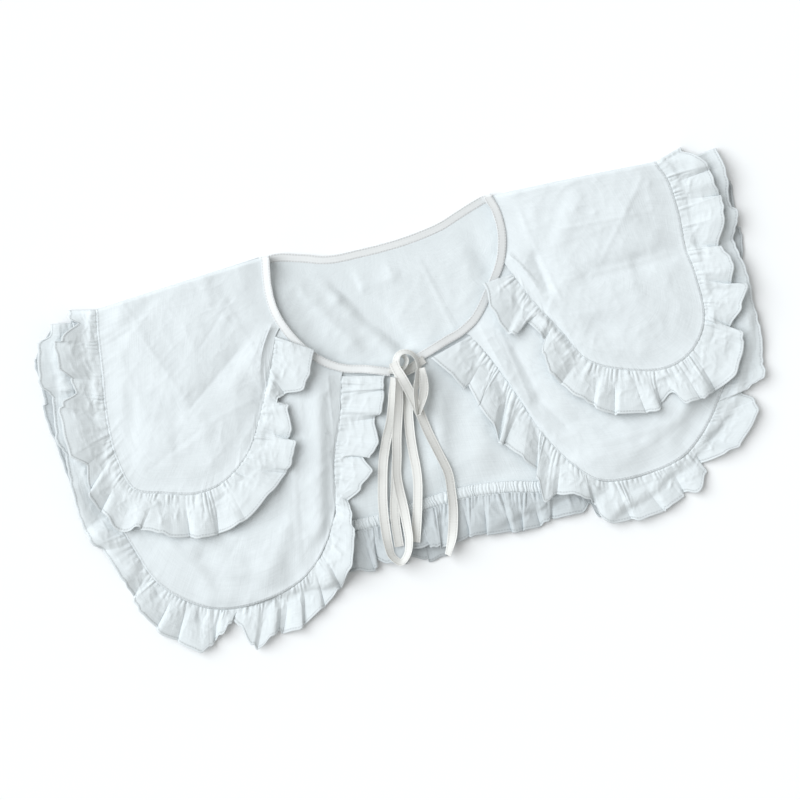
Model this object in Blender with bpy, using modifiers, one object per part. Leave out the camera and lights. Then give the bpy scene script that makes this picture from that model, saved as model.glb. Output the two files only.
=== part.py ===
"""Two-tier cotton capelet collar, laid flat with its fronts up.

Frame: metres, +X along the laid collar to its right-hand shoulder as it lies, +Y to the neck's back,
+Z up from the table. All tables are in millimetres.
"""
import bpy
import math
import numpy as np
from mathutils import Matrix

MM = 0.001
WALL = 1.0              # cloth with its turnings
GAP = 0.3               # air at seams and between layers
AIR = 1.7               # loft between the back and the fronts at the shoulder fold
FOLD_REACH = 3.4        # how far the upper tier's shoulder fold rolls out past its edge line
CELL = 2.0              # raster of what lies on the table already
PANEL_BED, FRILL_BED, TAPE_BED = 6, 4, 2    # cells on every side whose highest point carries a piece
FRONT_LOFT, BACK_LOFT = 2.2, 1.4            # rise of a panel's middle over what it lies on
SEAM_START = (WALL + GAP) * 0.75            # a ruffle's first row, out from its seam line
COLS_PER_FOLD = 2       # mesh columns between two rows of a ruffle's table
RUFFLE_ROWS = 3         # mesh rows from a ruffle's seam to its hem
PANEL_COLS, PANEL_ROWS = 20, 9
CORNER_BOW = {"left": (-80, 35), "right": (70, 35)}     # how far columns bow into the cloth at a front corner
BINDING_WIDTH, BINDING_THICK = 7.0, 1.8
NECK_BACK_Z, NECK_FRONT_Z = 1.3, 6.4
TIE_WIDTH, TIE_THICK = 8.0, 1.0
CASING_RIB_PITCH, RIB_HEIGHT = 5.0, 0.8

# Panels, a row for each section line: the point on its outer seam and the point on the neckline.
# columns: seam_x, seam_y, neck_x, neck_y
UPPER_LEFT = (
    (-104, 87, -100, 95), (-112, 66, -101, 99), (-130, 33, -102, 105), (-150, 2, -103, 110), (-177, -16, -103, 116),
    (-200, -19, -102, 119), (-228, -11, -102, 124), (-249, -2, -102, 128), (-256, 23, -101, 132),
    (-256, 59, -100, 138), (-249, 99, -99, 144), (-243, 135, -98, 150), (-240, 148, -98, 154))
LOWER_LEFT = (
    (-58, 38, -55.5, 46), (-67, 14, -63, 50), (-82, -22, -69, 56), (-96, -70, -77, 65), (-127, -107, -84, 73),
    (-167, -120, -89, 81), (-212, -116, -95, 89), (-249, -86, -100, 99), (-264, -47, -103, 108),
    (-273, 4, -103, 120), (-269, 64, -102, 133), (-265, 123, -99, 146), (-262, 144, -99, 152))
UPPER_RIGHT = (
    (101.5, 89, 100.5, 99), (109, 68, 102, 103), (128, 31, 105, 108), (144, 1, 106, 112), (176, -16, 107, 117),
    (206, -22, 108, 122), (229, -14, 108, 125), (246, 8, 107.5, 129), (249, 47, 107.5, 134),
    (247, 71, 107.5, 138), (249, 99, 107.5, 142), (247, 130, 106.5, 148), (242, 143, 105, 153))
LOWER_RIGHT = (
    (56, 41, 51.5, 49), (67, 22, 59, 55), (79, -11, 66, 59.5), (91, -47, 73, 65), (107, -76, 78, 71), (128, -98, 83, 77),
    (166, -103, 89, 83), (200, -97, 94, 89), (221, -82, 98, 94), (241, -59, 102, 100), (262, -24, 106, 109),
    (265, 21, 108, 119), (262, 64, 108, 129), (266, 107, 107, 139), (262, 139, 106, 150))
BACK_UPPER = (
    (-240, 148, -98, 154), (-249, 99, -97, 147), (-254, 34, -88, 143), (-231, -16, -74, 143), (-181, -55, -57, 137),
    (-127, -79, -37, 133.5), (-60, -85, -17, 134), (1, -84, 2, 133), (63, -79, 28, 134), (128, -63, 55, 137),
    (189, -28, 75, 143), (239, 28, 93, 148), (246, 90, 103, 147), (242, 143, 105, 153))
BACK_LOWER = (
    (-262, 144, -99, 152), (-266, 46, -97, 146), (-243, -28, -88, 143), (-209, -61, -74, 143), (-161, -74, -57, 137),
    (-118, -77, -37, 133.5), (-81, -80, -20, 134), (-50, -81, -17, 134), (-15, -78, 2, 133), (21, -78, 28, 134),
    (53, -83, 45, 136), (85, -91, 55, 137), (121, -87, 75, 143), (169, -70, 88, 147), (221, -35, 96, 149),
    (254, 50, 103, 146), (262, 139, 106, 150))
SHOULDER_TIPS = {"upper": ((-263, 154), (266, 149.5)), "lower": ((-280, 147.5), (294, 142.5))}

# Ruffles, a row for each fold edge or hollow, from the front edge round to the shoulder.
# columns: along the seam, reach from seam to hem, lean along the seam, lift of the hem
UPPER_LEFT_FOLDS = (
    (2, 32, 11, 3), (11, 33, 14, 7), (22, 30, 19, 6), (32, 15, 11, 0), (46, 11, 8, 4), (60, 21, 2, 3), (71, 29, 3, 6),
    (81, 28, 1, 0), (90, 35, -8, 7), (104, 36, -11, 5), (116, 34, -13, 1), (124, 34, -12, 7), (132, 36, -2, 5),
    (138, 36, 4, 7), (145, 36, 5, 1), (152, 37, 5, 5), (159, 36, 4, 7), (169, 35, 0, 0), (177, 35, 0, 5),
    (185, 32, 2, 7), (193, 30, 5, 5), (201, 28, 5, 7), (210, 36, -4, 3), (220, 29, -14, 7), (228, 30, -16, 1),
    (237, 32, -15, 6), (246, 29, -14, 0), (253, 25, -9, 3), (261, 35, -7, 7), (275, 37, 5, 5), (285, 34, 8, 7),
    (295, 23, 4, 1), (308, 26, 5, 1), (319, 34, 4, 7), (334, 36, 2, 5), (345, 29, 1, 7), (354, 16, -1, 1),
    (365, 26, -2, 2))
LOWER_LEFT_FOLDS = (
    (2, 33, 4, 2), (11, 36, 0, 5), (19, 36, 0, 2), (28, 35, 1, 6), (41, 29, 1, 0), (55, 35, -1, 7), (64, 30, 2, 5),
    (71, 23, -1, 0), (80, 32, 2, 7), (92, 22, 5, 4), (101, 11, 3, 0), (114, 15, 6, 7), (131, 21, 6, 3),
    (144, 27, 11, 7), (151, 27, 14, 2), (159, 27, 15, 6), (166, 27, 15, 2), (173, 28, 17, 6), (180, 29, 18, 2),
    (187, 32, 19, 7), (195, 29, 19, 0), (202, 27, 17, 1), (208, 29, 15, 7), (217, 36, 17, 5), (224, 31, 14, 7),
    (232, 14, 10, 4), (239, 8, 6, 0), (245, 12, 4, 5), (251, 20, 4, 7), (258, 26, -1, 1), (265, 31, -7, 5),
    (271, 37, -8, 7), (278, 35, -1, 5), (284, 33, 1, 1), (290, 34, 3, 7), (297, 31, 5, 2), (305, 28, 5, 7),
    (314, 25, 2, 5), (325, 22, -5, 1), (338, 21, -7, 7), (353, 23, 1, 2), (369, 28, 1, 7), (386, 29, 2, 2),
    (411, 26, 0, 6), (435, 26, -5, 2), (458, 31, -5, 6), (481, 28, 0, 2), (503, 35, 0, 6), (525, 31, 0, 2),
    (545, 19, -1, 3))
UPPER_RIGHT_FOLDS = (
    (1, 26, 5, 3), (8, 31, 6, 7), (22, 33, 9, 5), (31, 31, 9, 7), (42, 15, 1, 0), (49, 14, 5, 5), (57, 15, 8, 0),
    (67, 24, 2, 6), (81, 29, 6, 7), (93, 29, 11, 2), (103, 31, 5, 6), (110, 33, 1, 4), (117, 36, -1, 7),
    (124, 38, -3, 2), (131, 37, 0, 7), (138, 34, 4, 4), (147, 33, 13, 7), (156, 27, 6, 0), (164, 20, 5, 1),
    (172, 33, 1, 7), (179, 35, -4, 4), (186, 36, -6, 7), (194, 36, -5, 1), (202, 40, -6, 7), (212, 36, -6, 5),
    (220, 33, -4, 7), (228, 20, -5, 0), (237, 30, -7, 7), (248, 38, -5, 7), (259, 26, -4, 0), (269, 31, -7, 7),
    (283, 28, -5, 4), (292, 26, -3, 0), (304, 35, 3, 7), (319, 37, 2, 5), (328, 36, -1, 1), (336, 35, -3, 5),
    (343, 35, -6, 1), (351, 34, -8, 6), (363, 28, -3, 2))
LOWER_RIGHT_FOLDS = (
    (1, 36, -5, 3), (8, 34, 7, 6), (15, 34, 15, 4), (22, 29, 16, 2), (31, 31, 19, 5), (39, 32, 22, 4), (47, 30, 26, 7),
    (55, 35, 24, 1), (64, 34, 26, 6), (74, 31, 27, 2), (86, 24, 25, 7), (98, 22, 20, 2), (108, 28, 20, 6),
    (117, 37, 27, 5), (127, 27, 22, 1), (137, 18, 19, 5), (147, 15, 20, 4), (156, 19, 19, 0), (168, 34, 11, 7),
    (177, 33, 6, 3), (187, 35, 3, 7), (197, 34, 4, 3), (207, 32, 6, 6), (217, 29, 8, 2), (225, 26, 6, 0),
    (234, 31, 0, 6), (242, 23, 1, 2), (248, 14, 1, 0), (256, 25, 6, 7), (264, 32, 18, 5), (273, 32, 28, 7),
    (281, 27, 26, 3), (290, 15, 22, 0), (300, 20, 14, 6), (315, 29, 11, 7), (334, 26, 7, 3), (356, 25, 4, 6),
    (376, 25, 1, 2), (401, 27, -3, 6), (425, 26, -5, 2), (446, 32, 5, 6), (467, 27, -1, 2), (485, 32, -2, 6),
    (499, 32, -2, 3))

# Creases and soft ridges that are pressed into the panels.
# columns: from_x, from_y, to_x, to_y, width, height (a hollow is negative)
UPPER_LEFT_CREASES = (
    (-219, 137, -180, 35, 10, 3), (-195, 145, -229, 122, 6, -2), (-182, 53, -142, 81, 8, -2),
    (-142, 81, -105, 101, 8, -2), (-107, 97, -145, 60, 7, 2), (-126, 46, -170, -7, 9, -3), (-231, 71, -243, 27, 6, -2),
    (-195, 57, -205, 25, 6, -2), (-147, 154, -146, 134, 5, 2), (-139, 142, -136, 117, 5, 1.5))
LOWER_LEFT_CREASES = (
    (-79, 37, -110, -75, 9, 3), (-72, 27, -98, -69, 6, -2), (-208, -74, -201, -103, 8, -3),
    (-185, -63, -172, -84, 8, -2), (-131, -61, -167, -111, 8, 2))
UPPER_RIGHT_CREASES = (
    (164, 70, 207, 69, 9, -2.5), (207, 69, 245, 70, 8, -2.5), (124, 96, 126, 72, 6, -2), (120, 52, 161, 27, 9, -2),
    (161, 27, 220, -12, 9, -2), (202, 111, 221, 89, 9, 2), (169, 133, 148, 105, 8, 1.5))
LOWER_RIGHT_CREASES = (
    (87, 26, 96, -20, 9, -2.5), (96, -20, 111, -45, 8, -2), (124, -44, 168, -74, 8, -2), (243, -51, 208, -85, 8, -3),
    (217, -53, 194, -90, 8, 2.5))
BACK_LOWER_CREASES = (
    (-46, 130, -36, 112, 10, -2.5), (-36, 112, -21, 86, 12, -3), (-21, 86, -4, 56, 12, -2.5), (-22, 128, -21, 112, 6, 1.5),
    (2, 128, 5, 114, 6, 1.5), (77, 128, 85, 96, 8, -2), (16, 3, -4, -66, 9, 2), (48, -6, 33, -70, 9, 2),
    (-70, 126, -43, 71, 10, 2))

# Neck binding, a row for each section: centre, and the bearing in degrees from the neck's edge into the cloth.
# columns: x, y, bearing
BIND_LEFT = (
    (-17.5, 36, -98), (-37, 44, -105), (-53, 49, -115), (-65, 56, -130), (-75, 65, -138), (-84, 77, -147),
    (-92, 93, -155), (-97, 108, -166), (-98, 121, -178), (-97, 134, -186), (-95.5, 142, -190), (-94.5, 150, -188))
BIND_BACK = (
    (-94.5, 150, -188), (-93.3, 146.5, -170), (-90, 144, -135), (-84.5, 144.8, -100), (-78, 147.5, -95),
    (-70, 148, -100), (-60, 145, -112), (-48, 140.8, -106), (-37, 138.8, -97), (-17, 138, -90), (2, 137.5, -88),
    (28, 138.3, -84), (55, 141.5, -76), (72, 145.5, -76), (84, 147, -86), (92, 146.8, -70), (98, 149, -30),
    (100, 152.5, 0))
BIND_RIGHT = (
    (100, 152.5, 4), (102.3, 144, 4), (103, 136, 0), (102.5, 124, -5), (99.5, 112, -17), (94.5, 100, -26), (88, 90, -32),
    (79, 79, -40), (69, 67, -45), (60, 59, -48), (47, 52.5, -60), (34, 49, -68), (19, 44.5, -70), (5.8, 41, -72))

# Gathered elastic casing at the back's hem: the stretch of its length that carries fine ribs.
CASING_START, CASING_HEIGHT = 2.2, 9.5
CASING_RIBBED = (250, 478)
BACK_RUFFLE_REACH = 39.0

# Ties, a row for each point of the tape's middle line.
# columns: x, y
TIE_LOOP_LONG = (
    (-16.5, 31), (-22, 12), (-28, -3), (-36, -18), (-43, -34), (-48, -50), (-53, -69), (-56, -87), (-57.5, -103),
    (-57, -112), (-51, -119), (-44, -114), (-39.5, -103), (-38, -90), (-37, -76), (-36.5, -61), (-35, -47),
    (-31, -33), (-27, -18), (-22, -3), (-17, 12), (-12.5, 30))
TIE_END_INNER = (
    (-11.6, 31), (-17, 12), (-22, -3), (-27, -18), (-31, -33), (-35.5, -47), (-40, -61), (-44, -73), (-46.5, -84),
    (-48, -96), (-49, -106))
TIE_END_SHORT = (
    (-8, 29.9), (-9, 12), (-12, 0), (-15, -16), (-17, -33), (-18, -47), (-20, -59), (-23, -70), (-27, -83),
    (-31, -95), (-35, -106))
TIE_END_LONG = (
    (-3.3, 30.9), (-2, 16), (1, 5), (1, -9), (2, -20), (3, -32), (5, -44), (6, -58), (6, -72), (3, -86), (0, -98),
    (-5, -111), (-11, -122))
TIE_LOOP_SHORT = (
    (1.5, 31.5), (1.5, 22), (0, 13), (-1.5, 6), (1, 0), (6.5, -0.5), (9.8, 4.5), (11, 12), (12.5, 20), (12, 28),
    (5.5, 35.5))
KNOT = (-6, 38.3, 11.3, 9.2, 5.0)     # centre in plan and half sizes


def smooth(rows, steps=24):
    """A centripetal Catmull-Rom curve through the rows: each span is a Hermite cubic of its end slopes."""
    p = np.asarray(rows, float)
    q = np.vstack([2 * p[0] - p[1], p, 2 * p[-1] - p[-2]])
    t = np.linspace(0, 1, steps, endpoint=False)[:, None]
    spans = []
    for a, b, c, d in zip(q[:-3], q[1:-2], q[2:-1], q[3:]):
        k = [math.sqrt(np.linalg.norm(v[:2])) + 1e-9 for v in (b - a, c - b, d - c)]
        slope_b = ((b - a) / k[0] - (c - a) / (k[0] + k[1]) + (c - b) / k[1]) * k[1]
        slope_c = ((c - b) / k[1] - (d - b) / (k[1] + k[2]) + (d - c) / k[2]) * k[1]
        spans.append((2 * t**3 - 3 * t**2 + 1) * b + (t**3 - 2 * t**2 + t) * slope_b
                     + (3 * t**2 - 2 * t**3) * c + (t**3 - t**2) * slope_c)
    return np.vstack(spans + [p[-1:]])


class Curve:
    """A plan curve measured along its length in millimetres."""

    def __init__(self, rows):
        self.points = smooth(rows)
        steps = np.linalg.norm(np.diff(self.points[:, :2], axis=0), axis=1)
        self.run = np.concatenate([[0.0], np.cumsum(steps)])
        self.length = self.run[-1]

    def at(self, s):
        return np.stack([np.interp(s, self.run, col) for col in self.points.T], -1)

    def along(self, s, reach=4.0):
        d = self.at(np.minimum(np.asarray(s) + reach, self.length)) - self.at(np.maximum(np.asarray(s) - reach, 0))
        d = d[..., :2]
        return d / np.linalg.norm(d, axis=-1, keepdims=True)


class Table:
    """The highest surface so far over each cell of the table."""

    def __init__(self, x=(-330, 330), y=(-200, 200)):
        self.origin = np.array([x[0], y[0]], float)
        self.top = np.zeros((int((y[1] - y[0]) / CELL), int((x[1] - x[0]) / CELL)))

    def lay(self, grid, half=WALL * 0.62):
        """Raise the cells that a finely filled-in grid of points covers to its top side."""
        fine = grid
        for axis in (0, 1):
            n = fine.shape[axis]
            where = np.linspace(0, n - 1, (n - 1) * 8 + 1)
            low = np.minimum(where.astype(int), n - 2)
            part = (where - low).reshape([-1 if k == axis else 1 for k in range(3)])
            fine = np.take(fine, low, axis) * (1 - part) + np.take(fine, low + 1, axis) * part
        cell = ((fine[..., :2] - self.origin) / CELL).round().astype(int)
        np.maximum.at(self.top, (cell[..., 1].ravel(), cell[..., 0].ravel()), fine[..., 2].ravel() + half)

    def cover(self, x, y, reach=4):
        """A smooth height over everything laid: the maximum within reach cells, then two means over discs half as wide."""
        if getattr(self, "cache", (None,))[0] != (reach, self.top.sum()):
            best = self.disc(self.top, reach, np.maximum)
            for _ in range(2):
                best = self.disc(best, reach // 2, np.add)
            self.cache = ((reach, self.top.sum()), best)
        field = self.cache[1]
        u = np.clip((np.asarray(x) - self.origin[0]) / CELL, 0, field.shape[1] - 1.001)
        v = np.clip((np.asarray(y) - self.origin[1]) / CELL, 0, field.shape[0] - 1.001)
        i, j = v.astype(int), u.astype(int)
        a, b = v - i, u - j
        return ((field[i, j] * (1 - b) + field[i, j + 1] * b) * (1 - a)
                + (field[i + 1, j] * (1 - b) + field[i + 1, j + 1] * b) * a)

    @staticmethod
    def disc(field, reach, join):
        out, count = field.copy(), 1
        for dy in range(-reach, reach + 1):
            for dx in range(-reach, reach + 1):
                if (dx or dy) and dx * dx + dy * dy <= reach * reach + 0.5:
                    out = join(out, np.roll(field, (dy, dx), (0, 1)))
                    count += 1
        return out / count if join is np.add else out


def creased(x, y, creases):
    """Sum of soft troughs and ridges, each a bell across its line that dies out at both ends."""
    z = np.zeros_like(x)
    for ax, ay, bx, by, width, height in creases:
        d = np.array([bx - ax, by - ay], float)
        t = np.clip(((x - ax) * d[0] + (y - ay) * d[1]) / (d @ d), 0, 1)
        away = np.hypot(x - ax - t * d[0], y - ay - t * d[1])
        z += height * np.exp(-(away / width) ** 2)
    return z


def rolled(grid, other, out, reach, side):
    """Add the quarter turn of a shoulder fold after the grid's last column, half way to the other wall's end column."""
    edge = grid[:, -1]
    order = np.argsort(np.abs(other[:, 0]))
    other_z = np.interp(np.abs(edge[:, 0]), np.abs(other[order, 0]), other[order, 2])
    half = (edge[:, 2] - other_z) / 2 - side * GAP * 0.8
    cols = [np.column_stack([edge[:, :2] + out * reach * math.sin(a), edge[:, 2] - half * (1 - math.cos(a))])
            for a in np.radians((35, 65, 90))]
    return np.concatenate([grid, np.stack(cols, 1)], 1)


def panel_plan(sections, bound, cols, rows, bow, crowd):
    """Ruled grid in plan from the neckline (row 0), kept clear of its binding, to the outer seam (last row).

    Near the front corner the columns bow into the cloth; crowd packs columns towards both ends.
    """
    sections = np.asarray(sections, float)
    seam, neck = Curve(sections[:, :2]), Curve(sections[:, 2:])
    u = np.linspace(0, 1, cols)
    u -= crowd * np.sin(2 * np.pi * u)
    v = np.linspace(0, 1, rows)[:, None, None]
    edge, line = neck.at(u * neck.length), Curve(bound).points
    for k, inward in ((0, 1), (-1, -2)):
        step = (line[k, :2] - line[inward, :2]) / np.linalg.norm(line[k, :2] - line[inward, :2])
        more = np.column_stack([line[k, :2] + np.arange(1, 9)[:, None] * step, np.full(8, line[k, 2])])
        line = np.vstack([more[::-1], line]) if k == 0 else np.vstack([line, more])
    clear = BINDING_WIDTH / 2 + 4 * GAP + (np.exp(-(u * neck.length / 18) ** 2) if crowd else 0.0)
    for _ in range(3):
        away = edge[:, None] - line[None, :, :2]
        near = np.linalg.norm(away, axis=2).argmin(1)
        d, bearing = away[np.arange(cols), near], np.radians(line[near, 2])
        across = np.column_stack([np.cos(bearing), np.sin(bearing)])
        far = np.linalg.norm(d, axis=1)
        outside = (d * across).sum(1) > 0.5
        away = np.where(outside[:, None], d / np.maximum(far, 0.1)[:, None], across)
        edge = np.where((outside & (far >= clear))[:, None], edge, line[near, :2] + away * np.reshape(clear, (-1, 1)))
    plan = edge[None] * (1 - v) + seam.at(u * seam.length)[None] * v
    return plan + np.asarray(bow) * np.sin(np.pi * v) * (u * np.exp(-u / 0.2))[None, :, None], v[..., 0]


def panel(table, sections, bound, creases, loft, cols=PANEL_COLS, rows=PANEL_ROWS, flat=False, bow=(0, 0), crowd=0.0):
    """A panel that lies on everything laid before it, a little lofted in its middle."""
    plan, v = panel_plan(sections, bound, cols, rows, bow, crowd)
    x, y = plan[..., 0], plan[..., 1]
    bed = np.full_like(x, WALL / 2) if flat else table.cover(x, y, PANEL_BED) + 2 * GAP + WALL * 0.8
    span = np.hypot(x[-1] - x[0], y[-1] - y[0])
    bell = np.sin(np.pi * np.clip(v, 0, 1)) ** 1.3 * np.clip(span / 70, 0, 1) ** 2
    z = bed + bell * (loft + creased(x, y, creases))
    return np.dstack([x, y, np.maximum(z, bed)])


def ruffle(table, sections, folds, turn, tips=(None, None), loft=0.0, rows=RUFFLE_ROWS, start=SEAM_START,
           bed_z=None):
    """A gathered strip: the hem follows the fold table, and its waves flatten into the seam."""
    seam = Curve(np.asarray(sections, float)[:, :2])
    k = np.asarray(folds, float)
    where = np.linspace(0, len(k) - 1, (len(k) - 1) * COLS_PER_FOLD + 1)
    along = np.interp(where, np.arange(len(k)), k[:, 0] * seam.length / k[-1, 0])
    reach, lean, lift = (ease(where, k[:, c]) for c in (1, 2, 3))
    base, t = seam.at(along), seam.along(along)
    out = np.column_stack([t[:, 1], -t[:, 0]]) * turn
    v = np.linspace(0, 1, rows + 1)[:, None, None]
    flat = base[None] + out[None] * (start + (reach[None, :, None] - start) * v) + t[None] * lean[None, :, None] * v**1.2
    for column, tip in zip((0, -1), tips):
        if tip is not None:
            ray = np.asarray(tip) - base[column]
            near = start / np.linalg.norm(ray)
            flat[:, column] = base[column] + ray * (near + (1 - near) * v[:, 0])
    x, y = flat[..., 0], flat[..., 1]
    bed = np.full_like(x, bed_z) if bed_z is not None else table.cover(x, y, FRILL_BED) + GAP + WALL * 0.62
    z = bed + loft + lift[None] * np.clip(v[..., 0], 0, 1) ** 0.8
    return np.dstack([x, y, z])


def ease(where, values):
    """Values between whole numbers, with a cosine's ease at each."""
    low = np.minimum(where.astype(int), len(values) - 2)
    part = 0.5 - 0.5 * np.cos(np.pi * (where - low))
    return values[low] * (1 - part) + values[low + 1] * part


def material(name, colour, roughness):
    mat = bpy.data.materials.new(name)
    mat.use_nodes = True
    shader = mat.node_tree.nodes["Principled BSDF"]
    shader.inputs["Base Color"].default_value = (*colour, 1.0)
    shader.inputs["Roughness"].default_value = roughness
    shader.inputs["Metallic"].default_value = 0.0
    return mat


def place(name, mesh, colour=(0.86, 0.90, 0.92), roughness=0.85):
    obj = bpy.data.objects.new(name, mesh)
    mesh.materials.append(material(name + "_cloth", colour, roughness))
    mesh.shade_smooth()
    mesh.set_sharp_from_angle(angle=math.radians(60))
    COLLAR.objects.link(obj)
    return obj


def cloth(name, grid, **look):
    """An open grid of points given the wall's thickness, half to each side."""
    rows, cols = grid.shape[:2]
    index = np.arange(rows * cols).reshape(rows, cols)
    quads = np.stack([index[:-1, :-1], index[:-1, 1:], index[1:, 1:], index[1:, :-1]], -1).reshape(-1, 4)
    p, q = grid[:-1, 1:] - grid[:-1, :-1], grid[1:, :-1] - grid[:-1, :-1]
    if np.cross(p, q)[..., 2].sum() < 0:
        quads = quads[:, ::-1]
    mesh = bpy.data.meshes.new(name)
    mesh.from_pydata((grid.reshape(-1, 3) * MM).tolist(), [], quads.tolist())
    obj = place(name, mesh, **look)
    wall = obj.modifiers.new("wall", "SOLIDIFY")
    wall.thickness = WALL * MM
    wall.offset = 0.0
    return obj


def band(name, centre, across, up, width, thick, **look):
    """A closed bar of flat-oval section along a line, with its ends capped."""
    outline = [(math.copysign(abs(math.cos(a)) ** 0.7, math.cos(a)), math.copysign(abs(math.sin(a)) ** 0.7, math.sin(a)))
               for a in np.radians(np.arange(22.5, 360, 45))]
    ring = len(outline)
    verts = [c + a * (u * width / 2 / 0.945) + n * (w * thick / 2 / 0.945)
             for c, a, n in zip(centre, across, up) for u, w in outline]
    faces = [(i * ring + j, i * ring + (j + 1) % ring, (i + 1) * ring + (j + 1) % ring, (i + 1) * ring + j)
             for i in range(len(centre) - 1) for j in range(ring)]
    faces += [tuple(range(ring))[::-1], tuple(range(len(verts) - ring, len(verts)))]
    mesh = bpy.data.meshes.new(name)
    mesh.from_pydata([tuple(v * MM) for v in verts], [], faces)
    mesh.update()
    volume = sum(f.center.dot(f.normal) * f.area for f in mesh.polygons)
    if volume < 0:
        mesh.flip_normals()
    return place(name, mesh, **look)


def tape(table, name, rows, step=7.0, split=None, lift_ends=(0.0, 0.0), pinched=(True, False)):
    """A tie tape lying flat on what is under it; its second part may lie on its first."""
    line = Curve(rows)
    s = np.linspace(0, line.length, max(4, round(line.length / step) + 1))
    xy, t = line.at(s), line.along(s, 2.5)
    side = np.column_stack([-t[:, 1], t[:, 0]])
    width = np.full(len(s), TIE_WIDTH)
    for caught, run in zip(pinched, (s, line.length - s)):
        if caught:
            width *= 1 - 0.5 * np.exp(-(run / 11) ** 2)
    half = width[:, None] / 2
    z = np.zeros(len(s))
    stops = [0, len(s)] if split is None else [0, round(split * len(s)), len(s)]
    for a, b in zip(stops[:-1], stops[1:]):
        edge = np.stack([xy[a:b] + side[a:b] * k * half[a:b] for k in (-1, 0, 1)])
        z[a:b] = table.cover(edge[..., 0], edge[..., 1], TAPE_BED).max(0) + GAP + TIE_THICK * 0.7
        if a:
            z[a - 2:a] = np.maximum(z[a - 2:a], z[a] - 1.0)
        table.lay(np.dstack([edge[..., 0], edge[..., 1], np.tile(z[a:b], (3, 1))]), TIE_THICK * 0.55)
    z = np.maximum(z, np.convolve(np.pad(z, 2, "edge"), np.ones(5) / 5, "valid"))
    z += lift_ends[0] * np.exp(-s / 12) + lift_ends[1] * np.exp(-(line.length - s) / 12)
    centre = np.column_stack([xy, z])
    d = np.gradient(centre, axis=0)
    d /= np.linalg.norm(d, axis=1)[:, None]
    across = np.column_stack([side, np.zeros(len(s))])
    band(name, centre, across * half / TIE_WIDTH * 2, np.cross(d, across), TIE_WIDTH, TIE_THICK, colour=(0.90, 0.90, 0.86))


for old in list(bpy.data.objects):
    bpy.data.objects.remove(old, do_unlink=True)
COLLAR = bpy.data.collections.new("capelet_collar")
bpy.context.scene.collection.children.link(COLLAR)
TABLE = Table()


def binding_path():
    """The neck's edge from the left tie over the left shoulder, along the back and down to the right tie."""
    rows = []
    for part, z in ((BIND_LEFT, NECK_FRONT_Z), (BIND_BACK, NECK_BACK_Z), (BIND_RIGHT, NECK_FRONT_Z)):
        curve = Curve(part)
        n = round(curve.length / 11)
        s = np.linspace(0, curve.length, n)
        if z < NECK_FRONT_Z:
            s = np.concatenate([np.arange(0, 20, 4), s[2:-2], curve.length - np.arange(16, -1, -4)])
        rows.append(np.column_stack([curve.at(s)[:, :2], np.full(len(s), z), curve.at(s)[:, 2]]))
    half = (NECK_FRONT_Z - NECK_BACK_Z) / 2
    path = [rows[0]]
    for k, angles in ((1, (30, 60, 90, 120, 150)), (2, (150, 120, 90, 60, 30))):
        x, y, _, bearing = rows[k][0]
        path.append(np.array([[x, y + half * 1.3 * math.sin(math.radians(a)),
                               NECK_BACK_Z + half + half * math.cos(math.radians(a)), bearing] for a in angles]))
        path.append(rows[k])
    return np.vstack(path)


PATH = binding_path()
d = np.gradient(PATH[:, :3], axis=0)
d /= np.linalg.norm(d, axis=1)[:, None]
bearing = np.radians(PATH[:, 3])
across = np.column_stack([np.cos(bearing), np.sin(bearing), np.zeros(len(PATH))])
across -= d * (across * d).sum(1)[:, None]
across /= np.linalg.norm(across, axis=1)[:, None]
band("neck_binding", PATH[:, :3], across, np.cross(d, across), BINDING_WIDTH, BINDING_THICK, colour=(0.90, 0.90, 0.87))
low = PATH[:, 2] < NECK_BACK_Z + 0.2
strip = np.stack([PATH[low, :3] + across[low] * k * BINDING_WIDTH / 2 for k in (-1, 0, 1)])


def plain_waves(length, pitch, reach, swing, lift):
    """Even gathers for a ruffle that hardly shows."""
    count = round((length - 8) / pitch) | 1
    return [(s, reach - swing * (i % 2), 0, lift * (i % 2)) for i, s in enumerate(np.linspace(0, length, count))]


def seam_length(sections):
    return Curve(np.asarray(sections, float)[:, :2]).length


def casing(table, sections):
    """The elastic's channel: a narrow band beyond the seam whose cloth stands in fine ribs where it shows."""
    seam = Curve(np.asarray(sections, float)[:, :2])
    first, last = CASING_RIBBED
    ribs = np.arange(first, last, CASING_RIB_PITCH / 2)
    s = np.concatenate([np.linspace(0, first, 10)[:-1], ribs, np.linspace(last, seam.length, 10)])
    base, t = seam.at(s), seam.along(s)
    out = np.column_stack([t[:, 1], -t[:, 0]])
    v = np.linspace(0, 1, 3)[:, None, None]
    flat = base[None] + out[None] * (CASING_START + (CASING_HEIGHT - CASING_START) * v)
    z = table.cover(flat[..., 0], flat[..., 1], FRILL_BED) + GAP + WALL * 0.8
    ribbed = (s >= first) & (s < last)
    z[1] += np.where(ribbed, RIB_HEIGHT * (np.arange(len(s)) % 2), 0)
    z[0] += np.where(ribbed, RIB_HEIGHT * 0.5 * (np.arange(len(s)) % 2), 0)
    z[2] += np.where(ribbed, RIB_HEIGHT * 0.5 * (np.arange(len(s)) % 2), 0)
    return np.dstack([flat[..., 0], flat[..., 1], z])


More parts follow.
